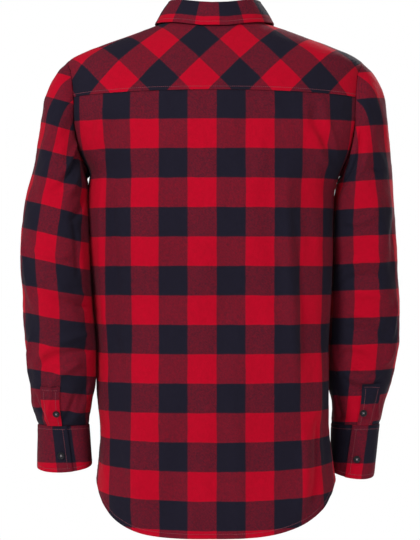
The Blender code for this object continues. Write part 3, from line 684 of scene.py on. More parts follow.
def flannel():
    """Brushed plaid twill: red and dark squares, and heathered twill where a red band crosses a dark one."""
    made = bpy.data.materials.new("plaid_flannel")
    made.use_nodes = True
    n = Nodes(made)
    uv = n.add("ShaderNodeUVMap", uv_map="cloth").outputs["UV"]
    place = n.add("ShaderNodeTexCoord").outputs["Object"]
    drift = n.noise(uv, 1.3, 2.0)
    fuzz = n.noise(place, 900.0, 3.0, 0.7)
    split = n.add("ShaderNodeSeparateXYZ")
    n.put(split.inputs[0], uv)
    wander = n.math("MULTIPLY", n.math("SUBTRACT", drift, 0.5), 0.05)
    fray = n.math("MULTIPLY", n.math("SUBTRACT", fuzz, 0.5), 0.02)
    u = n.math("ADD", n.math("ADD", split.outputs[0], wander), fray)
    v = n.math("ADD", n.math("SUBTRACT", split.outputs[1], wander), fray)

    def band(coordinate):
        wave = n.math("SINE", n.math("MULTIPLY", coordinate, math.pi))
        return n.math("MULTIPLY_ADD", wave, 11.0, 0.5, clamp=True)

    column, row = band(u), band(v)
    threads = 2 * math.pi * SQUARE / 2.2
    diagonal = n.math("MULTIPLY", n.math("ADD", split.outputs[0], split.outputs[1]), threads)
    twill = n.math("SINE", n.math("ADD", diagonal, n.math("MULTIPLY", fuzz, 2.5)))
    heather = n.noise(place, 330.0, 3.0, 0.75)
    speck = n.math("MULTIPLY", n.math("SUBTRACT", heather, 0.5), 0.55)
    mottled = n.math("ADD", n.math("MULTIPLY", twill, 0.12), speck)
    warp_mix = n.math("ADD", mottled, 0.33, clamp=True)
    weft_mix = n.math("ADD", mottled, 0.235, clamp=True)
    both = n.math("MULTIPLY", column, row)
    row_only = n.math("SUBTRACT", row, both)
    column_only = n.math("SUBTRACT", column, both)
    red_share = n.math("ADD", n.math("ADD", both, n.math("MULTIPLY", row_only, warp_mix)),
                       n.math("MULTIPLY", column_only, weft_mix), clamp=True)
    colour = n.mix(red_share, (*DARK, 1), (*RED, 1))
    nap = n.noise(place, 140.0, 4.0, 0.6)
    cloudy = n.noise(place, 9.0, 3.0)
    shade = n.math("ADD", n.math("MULTIPLY", nap, 0.26), n.math("MULTIPLY", cloudy, 0.20))
    shade = n.math("ADD", shade, n.math("MULTIPLY", twill, 0.035))
    shade = n.math("ADD", shade, 0.77)
    grey = n.add("ShaderNodeCombineXYZ")
    for socket in grey.inputs:
        n.put(socket, shade)
    n.put(n.shader.inputs["Base Color"], n.mix(1.0, colour, grey.outputs[0], "MULTIPLY"))
    n.put(n.shader.inputs["Roughness"], n.math("MULTIPLY_ADD", nap, 0.16, 0.80))
    n.shader.inputs["Specular IOR Level"].default_value = 0.05
    n.shader.inputs["Sheen Weight"].default_value = 0.025
    n.shader.inputs["Sheen Roughness"].default_value = 0.45
    n.shader.inputs["Sheen Tint"].default_value = (0.85, 0.55, 0.60, 1)
    crumple = n.bump(n.noise(place, 34.0, 3.0, 0.55), 0.55, 0.0030)
    weave = n.bump(n.math("ADD", n.math("MULTIPLY", twill, 0.4), fuzz), 0.45, 0.0004, crumple)
    n.put(n.shader.inputs["Normal"], n.bump(nap, 0.35, 0.0009, weave))
    return made


def shades(colour, *factors):
    """The colour made darker or lighter by each factor, as RGBA."""
    return [(*[c * factor for c in colour], 1) for factor in factors]


def thread(name, colour):
    """Twisted sewing thread."""
    made = bpy.data.materials.new(name)
    made.use_nodes = True
    n = Nodes(made)
    place = n.add("ShaderNodeTexCoord").outputs["Object"]
    ply = n.noise(place, 1500.0, 2.0)
    dark, light = shades(colour, 0.6, 1.5)
    n.put(n.shader.inputs["Base Color"], n.mix(ply, dark, light))
    n.put(n.shader.inputs["Roughness"], n.math("MULTIPLY_ADD", ply, 0.2, 0.5))
    n.put(n.shader.inputs["Normal"], n.bump(ply, 0.4, 0.0002))
    return made


def horn():
    """Dark polished button resin with faint streaks."""
    made = bpy.data.materials.new("button")
    made.use_nodes = True
    n = Nodes(made)
    place = n.add("ShaderNodeTexCoord").outputs["Object"]
    streak = n.noise(place, 420.0, 4.0, 0.6)
    dark, light = shades(HORN, 0.4, 1.7)
    n.put(n.shader.inputs["Base Color"], n.mix(streak, dark, light))
    n.put(n.shader.inputs["Roughness"], n.math("MULTIPLY_ADD", streak, 0.22, 0.34))
    n.shader.inputs["Specular IOR Level"].default_value = 0.12
    n.put(n.shader.inputs["Normal"], n.bump(n.noise(place, 160.0), 0.15, 0.0004))
    return made


FLANNEL, HORN_RESIN = flannel(), horn()
SEWING, BUTTON_SEWING = thread("sewing_thread", THREAD), thread("button_thread", BUTTON_THREAD)


# ---- plaid placement: functions of p and q (mm) that give places in the plaid (squares) ----

def straight(column, row, width=SQUARE, height=ROW):
    """Straight grain, with the middle of a dark column at p = column and a red row's top edge at q = row."""
    def uv(p, q):
        return (p - column) / width + 1.5, (q - row) / height
    return uv


def bias(p_red, q_red, shrink):
    """Bias grain, with a red square's middle at p_red, q_red and the cloth drawn out down by 1 / shrink."""
    def uv(p, q):
        a, b = p - p_red, (q - q_red) * shrink
        return (a + b) / math.sqrt(2) / SQUARE + 0.5, (b - a) / math.sqrt(2) / SQUARE + 0.5
    return uv


# ---- body ----

ROW_EDGE = 147.4       # below the origin, where the back's first red row begins
BACK_COLUMN = -24.5    # p of a dark column's middle on the back
BACK_CREASING = 1.9    # how far the back's relief is drawn out
FRONT_CREASING = 1.4   # and the fronts'

# Creases on the back, with p across from its middle and q down from the origin.
BACK_CREASES = [
    (166, 235, 160, 520, 6, 9, -2.6),
    (176, 250, 172, 470, -4, 7, 1.5),
    (-108, 235, -128, 560, -6, 8, 1.6),
    (-122, 300, -140, 520, 4, 7, -2.0),
    (-178, 190, -148, 128, 6, 8, -2.6),
    (-190, 222, -150, 165, 8, 9, 1.8),
    (-196, 200, -160, 110, 3, 6, 1.4),
    (182, 206, 150, 140, -6, 9, -1.8),
    (192, 190, 168, 122, -4, 7, 1.2),
    (-165, 600, -150, 742, 5, 10, -3.2),
    (-140, 620, -128, 752, 3, 10, 2.0),
    (-172, 480, -166, 600, 3, 9, 1.7),
    (118, 560, 112, 748, -8, 15, 1.6),
    (60, 590, 66, 765, 5, 16, -1.5),
    (-30, 600, -34, 768, 6, 18, 1.3),
    (148, 480, 150, 640, 4, 12, -1.6),
    (-70, 160, -60, 420, -5, 20, 1.1),
    (40, 150, 46, 330, 6, 22, -1.0),
    (90, 170, 100, 420, 3, 18, 1.1),
    (-20, 420, 10, 520, 6, 16, -0.9),
]
# Creases on a front, with p from the centre line towards the side.
FRONT_CREASES = [
    (170, 215, 120, 150, 10, 10, -2.4),
    (186, 235, 130, 185, 8, 9, 1.8),
    (192, 270, 176, 520, 5, 10, -2.2),
    (150, 330, 158, 560, -5, 12, 1.6),
    (90, 250, 104, 520, 6, 17, 1.5),
    (60, 480, 52, 720, -6, 15, -1.6),
    (120, 560, 128, 735, 5, 14, 1.7),
    (170, 560, 166, 700, -4, 10, -2.2),
    (40, 120, 46, 300, 5, 14, -1.1),
    (130, 110, 96, 180, -6, 13, 1.2),
]


# Unevenness of the cloth. Columns: height, pitch_p, pitch_q, slant of p against q
BODY_LONG_WAVES = [
    (0.9, 46, 170, 0),
    (0.5, 24, 90, 0),
]
BODY_SMALL_WAVES = [
    (0.28, 13, 30, 0.4),
    (0.16, 7, 11, 0),
]
SLEEVE_WAVES = [
    (1.6, 34, 90, 0),
    (1.2, 22, 34, 0.5),
    (0.35, 11, 16, -0.5),
    (0.16, 6, 7, 0),
]


def waves(p, q, rows, seed):
    """The sum of the rows' waves, each with its own seed."""
    heights = [height * noise(p + slant * q, q, pitch_p, pitch_q, seed + k)
               for k, (height, pitch_p, pitch_q, slant) in enumerate(rows)]
    return sum(heights)


def body_relief(p, q, rows, seed):
    """Creases and slight unevenness of a body panel, before its seams hold it flat."""
    long_waves = waves(p, q, BODY_LONG_WAVES, seed)
    small = waves(p, q, BODY_SMALL_WAVES, seed + 2)
    low = smoothstep((q - 420) / 260)
    return creases(p, q, rows) + long_waves * (0.8 + 0.6 * low) + small


def hem_relief(down, p, seed):
    """The turned hem: a slight step at its stitching, and small rope-like twists from there to the edge."""
    step = 0.55 * smoothstep((HEM_WIDTH + 0.8 - down) / 1.6)
    rope = 0.7 * noise(p + 1.3 * down, down, 9, 40, seed) * np.exp(-((down - 3.5) / 6) ** 2)
    groove = -0.6 * np.exp(-((down - HEM_WIDTH) / 1.3) ** 2)
    return step + rope + groove


def add_back():
    grid = back_grid()
    normals = outwards(grid)
    middle = BACK_ACROSS // 2
    flat = grid * np.array([1, 1, 0])
    p = run_length(flat)
    p = p - p[middle] + grid[middle, :, 0]
    q = -grid[..., 2]
    seams = np.concatenate([grid[0], grid[-1], grid[:, -1]])
    distance = edge_distance(grid, seams)
    down = np.broadcast_to(run_length(grid.swapaxes(0, 1)), (grid.shape[1], grid.shape[0])).T
    near_seam = smoothstep(distance / 16)
    relief = body_relief(p, q, BACK_CREASES, 11) * BACK_CREASING * near_seam
    relief *= 0.35 + 0.65 * smoothstep(down / 18)
    relief += pucker(distance, np.where(np.abs(p) > 150, q, p), 31) + hem_relief(down, p, 51)
    top = grid[:, -1:]
    relief -= 0.9 * smoothstep(1 - np.linalg.norm(grid - top, axis=-1) / 7)
    relief += fold_height(grid) * near_seam
    outer = grid + normals * relief[..., None]
    rise = 8 * smoothstep((q - 560) / 150) * (p / 190) ** 2
    cloth("back", outer, normals, CLOTH, p, q + rise, straight(BACK_COLUMN, ROW_EDGE), FLANNEL)
    j = int(np.argmax(down[middle] > HEM_WIDTH))
    stitching("stitching_hem_back", outer[:, j], normals[:, j], SEWING)


YOKE_RED = (22.8, 18.0)   # p and height above the back seam of a red square's middle


def add_yoke():
    grid = yoke_grid()
    normals = outwards(grid)
    middle = BACK_ACROSS // 2
    p = run_length(grid * np.array([1, 1, 0]))
    p = p - p[middle]
    up = run_length(grid.swapaxes(0, 1)).T
    top = grid[:, -1:]
    shoulder = np.concatenate([grid[: SHOULDER_CELLS + 1, -1], grid[-SHOULDER_CELLS - 1 :, -1]])
    held = np.concatenate([grid[0], grid[-1], shoulder])
    distance = edge_distance(grid, held)
    relief = 0.6 * noise(p, up, 52, 40, 71) + 0.3 * noise(p, up, 20, 17, 72) + 0.15 * noise(p, up, 8, 8, 73)
    relief += creases(p, up, [(-150, 18, -60, 34, 6, 11, 0.9), (60, 30, 165, 12, -6, 12, -0.9),
                              (-190, 30, -130, 60, 5, 8, -0.9), (120, 55, 185, 40, 5, 9, 0.8)])
    below_top = np.linalg.norm(grid - top, axis=-1)
    relief *= smoothstep(distance / 14) * smoothstep(up / 12) * smoothstep(below_top / 12)
    relief += pucker(distance, np.where(distance < 30, up + p, p), 81)
    edge = np.exp(-(up / 5.5) ** 2)
    relief += edge * (0.75 + 0.22 * noise(p, 0 * p, 9, 1, 91)) - 0.35 * np.exp(-((up - 4.2) / 1.1) ** 2)
    outer = grid + normals * relief[..., None]
    outer[1:-1, 0, 2] -= 1.0
    cloth("yoke", outer, normals, CLOTH, p, -up, bias(YOKE_RED[0], -YOKE_RED[1], 0.935), FLANNEL)
    j = int(np.argmax(up[middle] > 2.2))
    stitching("stitching_yoke", outer[:, j], normals[:, j], SEWING)


def add_front(name, side):
    grid = front_grid(side)
    normals = outwards(grid)
    p = run_length(grid * np.array([1, 1, 0]))
    p = (p - PLACKET_HALF) * 1.0
    q = -grid[..., 2]
    seams = np.concatenate([grid[-1], grid[PLACKET_CELLS:, -1]])
    distance = edge_distance(grid, seams)
    down = run_length(grid.swapaxes(0, 1)).T
    seed = 200 if side > 0 else 300
    near_seam = smoothstep(distance / 16) * smoothstep((p - 14) / 22)
    relief = body_relief(p, q, FRONT_CREASES, seed) * FRONT_CREASING * near_seam
    relief *= 0.35 + 0.65 * smoothstep(down / 18)
    relief += pucker(distance, q + p, seed + 5) * smoothstep((p - 14) / 8)
    relief += hem_relief(down, p, seed + 7) * smoothstep((p - 18) / 5)
    relief += fold_height(grid) * smoothstep(distance / 16)
    if side < 0:
        relief -= UNDERLAP * smoothstep((PLACKET_HALF + 6 - p) / 6)
    outer = grid + normals * relief[..., None]
    rise = 8 * smoothstep((q - 560) / 150) * (p / 190) ** 2
    made = cloth(name, outer, normals, CLOTH, side * p, q + rise, straight(side * 21.6, ROW_EDGE), FLANNEL)
    j = int(np.argmax(down[40] > HEM_WIDTH))
    stitching(f"stitching_hem_{name}", outer[PLACKET_CELLS + 2 :, j], normals[PLACKET_CELLS + 2 :, j], SEWING)
    return outer, normals, made


def add_placket(outer, normals):
    strip, facing = outer[: PLACKET_CELLS + 1], normals[: PLACKET_CELLS + 1]
    x = PLACKET[:, None]
    edge = PLACKET_HALF - np.abs(x)
    q = -strip[..., 2]
    swell = 0.35 * smoothstep(edge / 2.0) - 0.45 * np.exp(-((edge - 5.5) / 0.9) ** 2)
    swell = swell + 0.25 * noise(q + 0 * x, x + 0 * q, 16, 9, 401) * smoothstep(edge / 3)
    face = strip + facing * (GAP + CLOTH + swell + 0 * q)[..., None]
    cloth("placket_front", face, facing, CLOTH - 0.1, x + 0 * q, q, straight(0.0, ROW_EDGE), FLANNEL)
    for word, i in (("left", 3), ("right", PLACKET_CELLS - 3)):
        stitching(f"stitching_placket_{word}", face[i, 4:-4], facing[i, 4:-4], SEWING)
    return face


# ---- collar ----

def neck_outwards(turn):
    """The level direction away from the neck at a turn."""
    s, c = np.sin(turn), np.cos(turn)
    return unit(np.stack([s / NECK_HALF_WIDTH, c / np.where(c > 0, NECK_BACK, NECK_FRONT), 0 * s], axis=-1))


def stand_line(turn, share):
    """The stand's outer face at a share of its height."""
    foot = neck(turn)
    back, front = STAND_HEIGHT
    height = front + (back - front) * (1 + np.cos(turn)) / 2
    line = foot * (1 + (STAND_LEAN - 1) * share * np.array([1, 1, 0]))
    line[..., 2] += GAP + height * share
    return line


def add_stand():
    turn = np.concatenate([-FRONT_TURNS, BACK_TURNS[1:-1], FRONT_TURNS[::-1]])
    shares = np.linspace(0, 1, 13)
    outer = np.stack([stand_line(turn, share) for share in shares], axis=1)
    away = neck_outwards(turn)[:, None] + 0 * outer
    columns = np.arange(len(turn))[:, None]
    dip = STAND_DIP * smoothstep((PLACKET_CELLS + 5 - columns) / 5)
    edge = np.minimum(shares, 1 - shares)[None] * STAND_HEIGHT[0]
    soft = 0.25 * smoothstep(edge / 2.5) - 0.25
    outer = outer + away * (soft - dip)[..., None]
    run = run_length(outer[:, 6])[:, None] + 0 * shares
    run = run - run[len(turn) // 2]
    cloth("collar_stand", outer, away, DOUBLE - 0.2, run, -shares[None] * STAND_HEIGHT[0] + 0 * run,
          straight(40.0, 14.0), FLANNEL)
    stitching("stitching_stand", outer[PLACKET_CELLS + 6 :, 2], away[PLACKET_CELLS + 6 :, 2], SEWING)


def collar_edge(turn):
    """The collar's lower edge: over the yoke at the back and sides, then forward to the collar point."""
    back_y, back_z = COLLAR_BACK
    side = np.array([COLLAR_SIDE, 0.0])
    end = math.pi - math.asin(COLLAR_LEAF_END / NECK_HALF_WIDTH)
    s, c = np.sin(np.abs(turn)), np.cos(turn)
    t = np.clip((np.abs(turn) - math.pi / 2) / (end - math.pi / 2), 0, 1)[:, None]
    control, tip = np.array([COLLAR_SIDE, -52.0]), np.array(COLLAR_POINT)
    front = (1 - t) ** 2 * side + 2 * t * (1 - t) * control + t * t * tip
    back = np.stack([COLLAR_SIDE * s, back_y * c], axis=1)
    plan = np.where(c[:, None] > 0, back, front)
    heights = np.linspace(30, -130, 400)
    edge = np.zeros((len(turn), 3))
    for i, (x, y) in enumerate(plan):
        column = np.stack([np.full(400, x), np.full(400, y), heights], axis=1)
        over = height_over_form(column) - COLLAR_CLEARANCE
        k = max(int(np.argmin(over > 0)), 1)
        t_k = over[k - 1] / (over[k - 1] - over[k])
        edge[i] = (x, y, heights[k - 1] + (heights[k] - heights[k - 1]) * t_k)
    edge[:, 2] = np.maximum(edge[:, 2], np.where(c > 0, back_z, -999))
    edge[:, 0] *= np.sign(turn)
    return edge


LEAF_COLUMN = 49.5     # p of a dark column's middle along the collar's edge
LEAF_RED = 13.0        # height of the red row's top over that edge


def add_leaf():
    end = math.pi - math.asin(COLLAR_LEAF_END / NECK_HALF_WIDTH)
    turn = np.linspace(-end, end, 221)
    away = neck_outwards(turn)
    middle = stand_line(turn, 1) + away * (FOLD_RADIUS - 0.1) + np.array([0, 0, GAP])
    radius = FOLD_RADIUS + DOUBLE
    over = [middle + away * radius * math.cos(a) + np.array([0, 0, radius * math.sin(a)])
            for a in np.radians(np.linspace(180, 10, 15))]
    edge = collar_edge(turn)
    start = over[-1]
    falls = []
    for share in np.linspace(0, 1, 31)[1:]:
        line = start + (edge - start) * share + away * math.sin(math.pi * share)
        falls.append(lifted(line, COLLAR_CLEARANCE))
    outer = np.stack(over + falls, axis=1)
    normals = sheet_normals(outer, away[:, None] + np.array([0, 0, 0.6]))
    normals[:, 0] = -away
    fall = run_length(outer.swapaxes(0, 1)).T
    height = fall[:, -1:] - fall
    run = run_length(outer[:, -1])
    run = (run - run[len(turn) // 2])[:, None] + 0 * height
    end_gap = np.minimum(run - run[0], run[-1] - run)
    rim = np.minimum(height, end_gap)
    relief = -0.55 * np.exp(-((rim - 5.5) / 1.0) ** 2) + 0.3 * smoothstep(rim / 2) - 0.3
    relief += 0.35 * noise(run, height, 24, 22, 501) * smoothstep(rim / 8)
    relief += 0.16 * noise(run, height, 8, 9, 502) * smoothstep(rim / 3)
    outer = outer + normals * (relief * smoothstep(fall / 6))[..., None]
    made = cloth("collar_leaf", outer, normals, DOUBLE - 0.3, run, -height,
                 straight(LEAF_COLUMN, -LEAF_RED, LEAF_SQUARE), FLANNEL)
    j = int(np.argmin(np.abs(height[len(turn) // 2] - 5.5)))
    line = np.stack([along(column[::-1], [5.5 / max(h[0] - h[-1], 1)])[0]
                     for column, h in zip(outer, height)])
    stitching("stitching_collar", line[3:-3], normals[3:-3, j], SEWING)
    return made


# ---- sleeves ----

# Creases round a sleeve, with p from the line down its back towards the outer side and q its height below the
# origin. The hidden front has its own, on the far side of the tube.
LEFT_CREASES = [
    (-60, 205, -20, 262, 5, 6, 2.5),
    (-70, 240, -30, 300, 6, 6, -2.5),
    (-64, 408, -4, 396, 8, 6, 2.5),
    (-70, 424, 6, 414, 6, 6, -2.5),
    (-72, 470, 34, 502, -10, 6, 2.5),
    (-60, 492, 40, 522, -8, 6, -2.5),
    (60, 330, 40, 420, 5, 6.5, 2.3),
    (64, 400, 36, 470, 6, 10, -1.2),
    (44, 470, 66, 540, -6, 6, 2.1),
    (-34, 300, -44, 380, 5, 6, -2.1),
    (-54, 540, -20, 600, 6, 6, 2.3),
    (-24, 560, -4, 606, 2, 4.5, -2.1),
    (20, 200, 36, 330, 6, 13, 1.6),
    (40, 130, 60, 250, -8, 14, -1.8),
    (-20, 110, 10, 190, 6, 12, -1.2),
    (14, 540, 24, 604, 3, 4.5, 1.5),
    (52, 560, 62, 606, -3, 5, -1.7),
    (130, 300, 150, 420, 8, 12, 2.4),
    (-130, 250, -110, 360, 8, 11, -2.4),
    (170, 400, 110, 432, 6, 9, -2.2),
    (-160, 470, -100, 500, 6, 9, 2.2),
    (120, 520, 140, 604, 4, 9, 1.8),
    (-52, 150, -8, 232, 7, 6, 2.4),
    (-46, 182, 2, 258, 6, 6, -2.2),
    (-30, 352, 30, 338, 6, 5, 1.9),
    (-36, 512, 16, 548, -6, 6, 2.3),
    (22, 596, 46, 560, 3, 4, -1.7),
]
RIGHT_CREASES = [
    (-66, 205, -26, 150, 6, 6.5, 2.5),
    (-58, 240, -10, 160, 8, 6, -2.5),
    (-60, 262, 6, 196, 6, 6, 2.1),
    (-56, 372, 30, 360, -8, 6, 2.5),
    (-50, 392, 34, 384, -6, 6, -2.5),
    (-34, 440, 44, 462, -6, 6, 2.5),
    (-30, 460, 48, 482, -4, 6, -2.5),
    (-26, 545, 26, 545, 10, 6, -2.5),
    (-30, 532, 30, 530, 10, 6, 2.3),
    (56, 420, 36, 520, 4, 6.5, 2.3),
    (58, 300, 42, 400, 6, 10, -1.2),
    (10, 214, 34, 226, 3, 4, -1.5),
    (-60, 480, -30, 540, 5, 6, 2.5),
    (-46, 560, -24, 606, 3, 5, -2.1),
    (30, 565, 40, 608, 3, 4.5, 1.7),
    (20, 250, 30, 340, 6, 14, 1.3),
    (30, 110, 44, 210, -8, 14, -1.5),
    (130, 300, 150, 420, 8, 12, 2.4),
    (-130, 250, -110, 360, 8, 11, -2.4),
    (160, 380, 100, 410, 6, 9, -2.2),
    (-150, 500, -100, 520, 6, 9, 2.2),
    (120, 520, 140, 604, 4, 9, 1.8),
    (-40, 300, 16, 286, 6, 5, 1.9),
    (-22, 411, 40, 424, -6, 6, 2.3),
    (-44, 500, 8, 512, -5, 5, -2.1),
    (26, 520, 52, 488, 4, 4.5, 1.9),
    (-18, 520, 20, 520, 7, 4, 2),
]


SLEEVE_CREASING = 1.7  # how far the creases' heights are drawn out
GATHER_REACH = 150.0   # up from the cuff, over which the sleeve is gathered into it


class Sleeve:
    """The facts of one sleeve.

    Its plaid rows are measured at the x of row_x, and rise outwards by row_rise for each unit
    across, read from (q, rise) pairs. row_edges are (q, row edge) pairs, with edge 0 the top of a red row.
    columns are (p, column edge) pairs: edge 0 is a red column's inner edge and edge 1 its outer one. Edges
    lie nearer than a square's width where folds take up the cloth. drift is how far the columns have moved
    outwards at a depth, as (q, distance) pairs.
    """

    def __init__(self, word, side, rows, cuff, row_edges, row_x, row_rise, columns, drift, crease_rows, seed):
        self.word, self.side, self.rows, self.cuff = word, side, rows, cuff
        self.row_edges, self.row_x, self.row_rise = row_edges, row_x, row_rise
        self.columns, self.drift = columns, drift
        self.crease_rows, self.seed = crease_rows, seed
        self.flip = np.array([side, 1, 1])

    def plaid(self, p, q):
        at, edge = np.array(self.columns, float).T
        row_at, row = np.array(self.row_edges, float).T
        drift_at, drift = np.array(self.drift, float).T
        return np.interp(p - np.interp(q, drift_at, drift), at, edge), np.interp(q, row_at, row)


LEFT = Sleeve("left", 1, SLEEVE_LEFT, CUFF_LEFT,
              [(-176.5, -10), (527.3, 7), (556, 8), (585, 9), (611, 10), (637, 11)], 241.0,
              [(100, 0.30), (270, 0.26), (360, 0.22), (440, 0.16), (600, 0.10)],
              [(-447, -10), (-15, 0), (16, 1), (54, 2), (486, 12)],
              [(250, 0), (300, 4), (350, 7.5), (420, 6), (500, 13.5), (570, 15)], LEFT_CREASES, 600)
RIGHT = Sleeve("right", -1, SLEEVE_RIGHT, CUFF_RIGHT,
               [(-181, -10), (486.2, 6), (526, 7), (565.5, 8), (606.5, 9), (648, 10)], 245.0,
               [(100, 0.12), (270, 0.06), (440, 0.03), (600, 0.03)],
               [(-454, -10), (-22, 0), (16, 1), (57, 2), (489, 12)],
               [(400, 0), (530, 2)], RIGHT_CREASES, 700)


def add_sleeve(sleeve):
    """A sleeve's cloth. It returns the sleeve's grid, outer face and normals."""
    grid = sleeve_grid(sleeve.side, sleeve.rows)
    normals = tube_normals(grid)
    wrapped = np.concatenate([grid, grid[:1]])
    arc = run_length(wrapped)
    back_column = int(np.argmin(np.abs(ring_share(grid) - 0.25)))
    p_wrapped = arc - arc[back_column]
    p, q = p_wrapped[:-1], -grid[..., 2]
    turn_length = arc[-1]
    p = np.where(p > turn_length * 0.5, p - turn_length, p)
    distance = run_length(grid.swapaxes(0, 1)).T
    end = distance[:, -1:] - distance
    seed = sleeve.seed
    relief = SLEEVE_CREASING * creases(p, q, sleeve.crease_rows)
    relief += waves(p, q, SLEEVE_WAVES, seed)
    gather = smoothstep((GATHER_REACH - end) / GATHER_REACH)
    relief += gather * noise(p, q, 13, 80, seed + 4)
    towards_body = smoothstep((-p - 36) / 30) * smoothstep((p + turn_length * 0.42) / 20)
    relief = np.where(relief > 0, relief * (1 - 0.75 * towards_body), relief)
    relief *= smoothstep(distance / 26) * smoothstep(end / 14)
    relief += pucker(distance, p, seed + 6)
    relief -= smoothstep(1 - end / 9)
    outer = grid + normals * relief[..., None]
    outer[:, 0] += unit(grid[:, 1] - grid[:, 0]) * GAP
    rise_at, rise = np.array(sleeve.row_rise).T
    x_wrapped, q_wrapped = wrapped[..., 0], -wrapped[..., 2]
    cloth_q = q_wrapped + np.interp(q_wrapped, rise_at, rise) * (x_wrapped - sleeve.row_x)
    cloth(f"sleeve_{sleeve.word}", outer * sleeve.flip, normals * sleeve.flip, CLOTH, p_wrapped, cloth_q,
          sleeve.plaid, FLANNEL, closed=True)
    return grid, outer, normals


def ring_share(grid):
    """Each column's share of a turn at the sleeve's lower end."""
    return shares_of(np.concatenate([grid[:, -1], grid[:1, -1]]))[:-1]


def add_sleeve_placket(sleeve, grid, outer, normals, uv):
    share = ring_share(grid)
    low, high = SLEEVE_PLACKET_SPAN
    columns = np.flatnonzero((share >= low - 1e-4) & (share <= high + 1e-4))
    end = run_length(grid[columns[0], ::-1])[::-1]
    rows = np.flatnonzero(end <= SLEEVE_PLACKET_HEIGHT)
    strip = outer[np.ix_(columns, rows)]
    facing = normals[np.ix_(columns, rows)]
    p = run_length(strip)
    p = p - p[-1:] / 2
    q = -strip[..., 2]
    edge = p[-1:] - np.abs(p)
    top = q - q[:, :1]
    rim = np.minimum(edge, top + 0.01)
    swell = 0.3 * smoothstep(rim / 2) - 0.4 * np.exp(-((rim - 2.6) / 0.8) ** 2)
    swell = swell + 0.25 * noise(q, p, 15, 9, sleeve.seed + 20) * smoothstep(rim / 3)
    face = strip + facing * (GAP + CLOTH + swell)[..., None]
    cloth(f"sleeve_placket_{sleeve.word}", face * sleeve.flip, facing * sleeve.flip, CLOTH - 0.1, p, q, uv,
          FLANNEL)
    inset = 3
    k = int(np.argmax(top[0] > 2.6))
    across = along(face[:, k], np.linspace(0.1, 0.9, 12)), facing[:12, k]
    for word, (line, up) in (("side_a", (face[inset, 3:], facing[inset, 3:])),
                             ("side_b", (face[-1 - inset, 3:], facing[-1 - inset, 3:])), ("top", across)):
        if len(up) < len(line):
            up = np.repeat(up[:1], len(line), axis=0)
        name = f"stitching_sleeve_placket_{sleeve.word}_{word}"
        stitching(name, line * sleeve.flip, up * sleeve.flip, SEWING)


def add_cuff(sleeve, uv):
    """A cuff: it turns once round the wrist and its end runs on under the outer one."""
    share = np.linspace(0, 1 + CUFF_OVERLAP, int(CUFF_AROUND * (1 + CUFF_OVERLAP)) + 1)
    cuff = sleeve.cuff
    top, bottom = ring(sleeve.rows[-1], share + CUFF_EDGE[0]), ring(cuff, share + CUFF_EDGE[1])
    top[:, 2] -= GAP
    bottom[:, 2] -= CUFF_TILT * (bottom[:, 1] - cuff[4]) / cuff[5]
    ahead, behind = (ring(cuff, share + CUFF_EDGE[1] + step) for step in (0.01, -0.01))
    level = unit(np.cross(ahead - behind, [0.0, 0.0, 1.0]))
    level *= np.sign((level * (bottom - bottom.mean(axis=0))).sum(axis=1).mean())
    dip = smoothstep((share - (1 - CUFF_OVERLAP)) / CUFF_OVERLAP) * CUFF_DIP
    down = np.linspace(0, 1, CUFF_UP + 1)
    band = top[:, None] + (bottom - top)[:, None] * down[None, :, None] - (level * dip[:, None])[:, None]
    facing = level[:, None] + 0 * band
    run = run_length(band[:, CUFF_UP // 2])[:, None] + 0 * down
    depth = run_length(band.swapaxes(0, 1)).T
    rim = np.minimum(np.minimum(depth, depth[:, -1:] - depth), np.minimum(run, run[-1] - run))
    relief = 0.35 * smoothstep(rim / 2.2) - 0.5 * np.exp(-((rim - 5.5) / 0.9) ** 2)
    relief += 0.5 * noise(run, depth, 26, 30, sleeve.seed + 30)
    relief += 0.25 * noise(run, depth, 9, 14, sleeve.seed + 31) - 0.35
    outer = band + facing * relief[..., None]
    outer, facing = outer * sleeve.flip, facing * sleeve.flip
    cloth(f"cuff_{sleeve.word}", outer, facing, DOUBLE - 0.4, run, depth, uv, FLANNEL)
    for word, j in (("top", 2), ("bottom", CUFF_UP - 2)):
        stitching(f"stitching_cuff_{sleeve.word}_{word}", outer[2:-2, j], facing[2:-2, j], SEWING)
    stitching(f"stitching_cuff_{sleeve.word}_end", outer[4, 2:-2], facing[4, 2:-2], SEWING)


# ---- buttons ----

BUTTON_RADIUS = 5.5
BUTTON_THICKNESS = 2.6
HOLE_RADIUS = 0.85
HOLE_OFFSET = 1.45


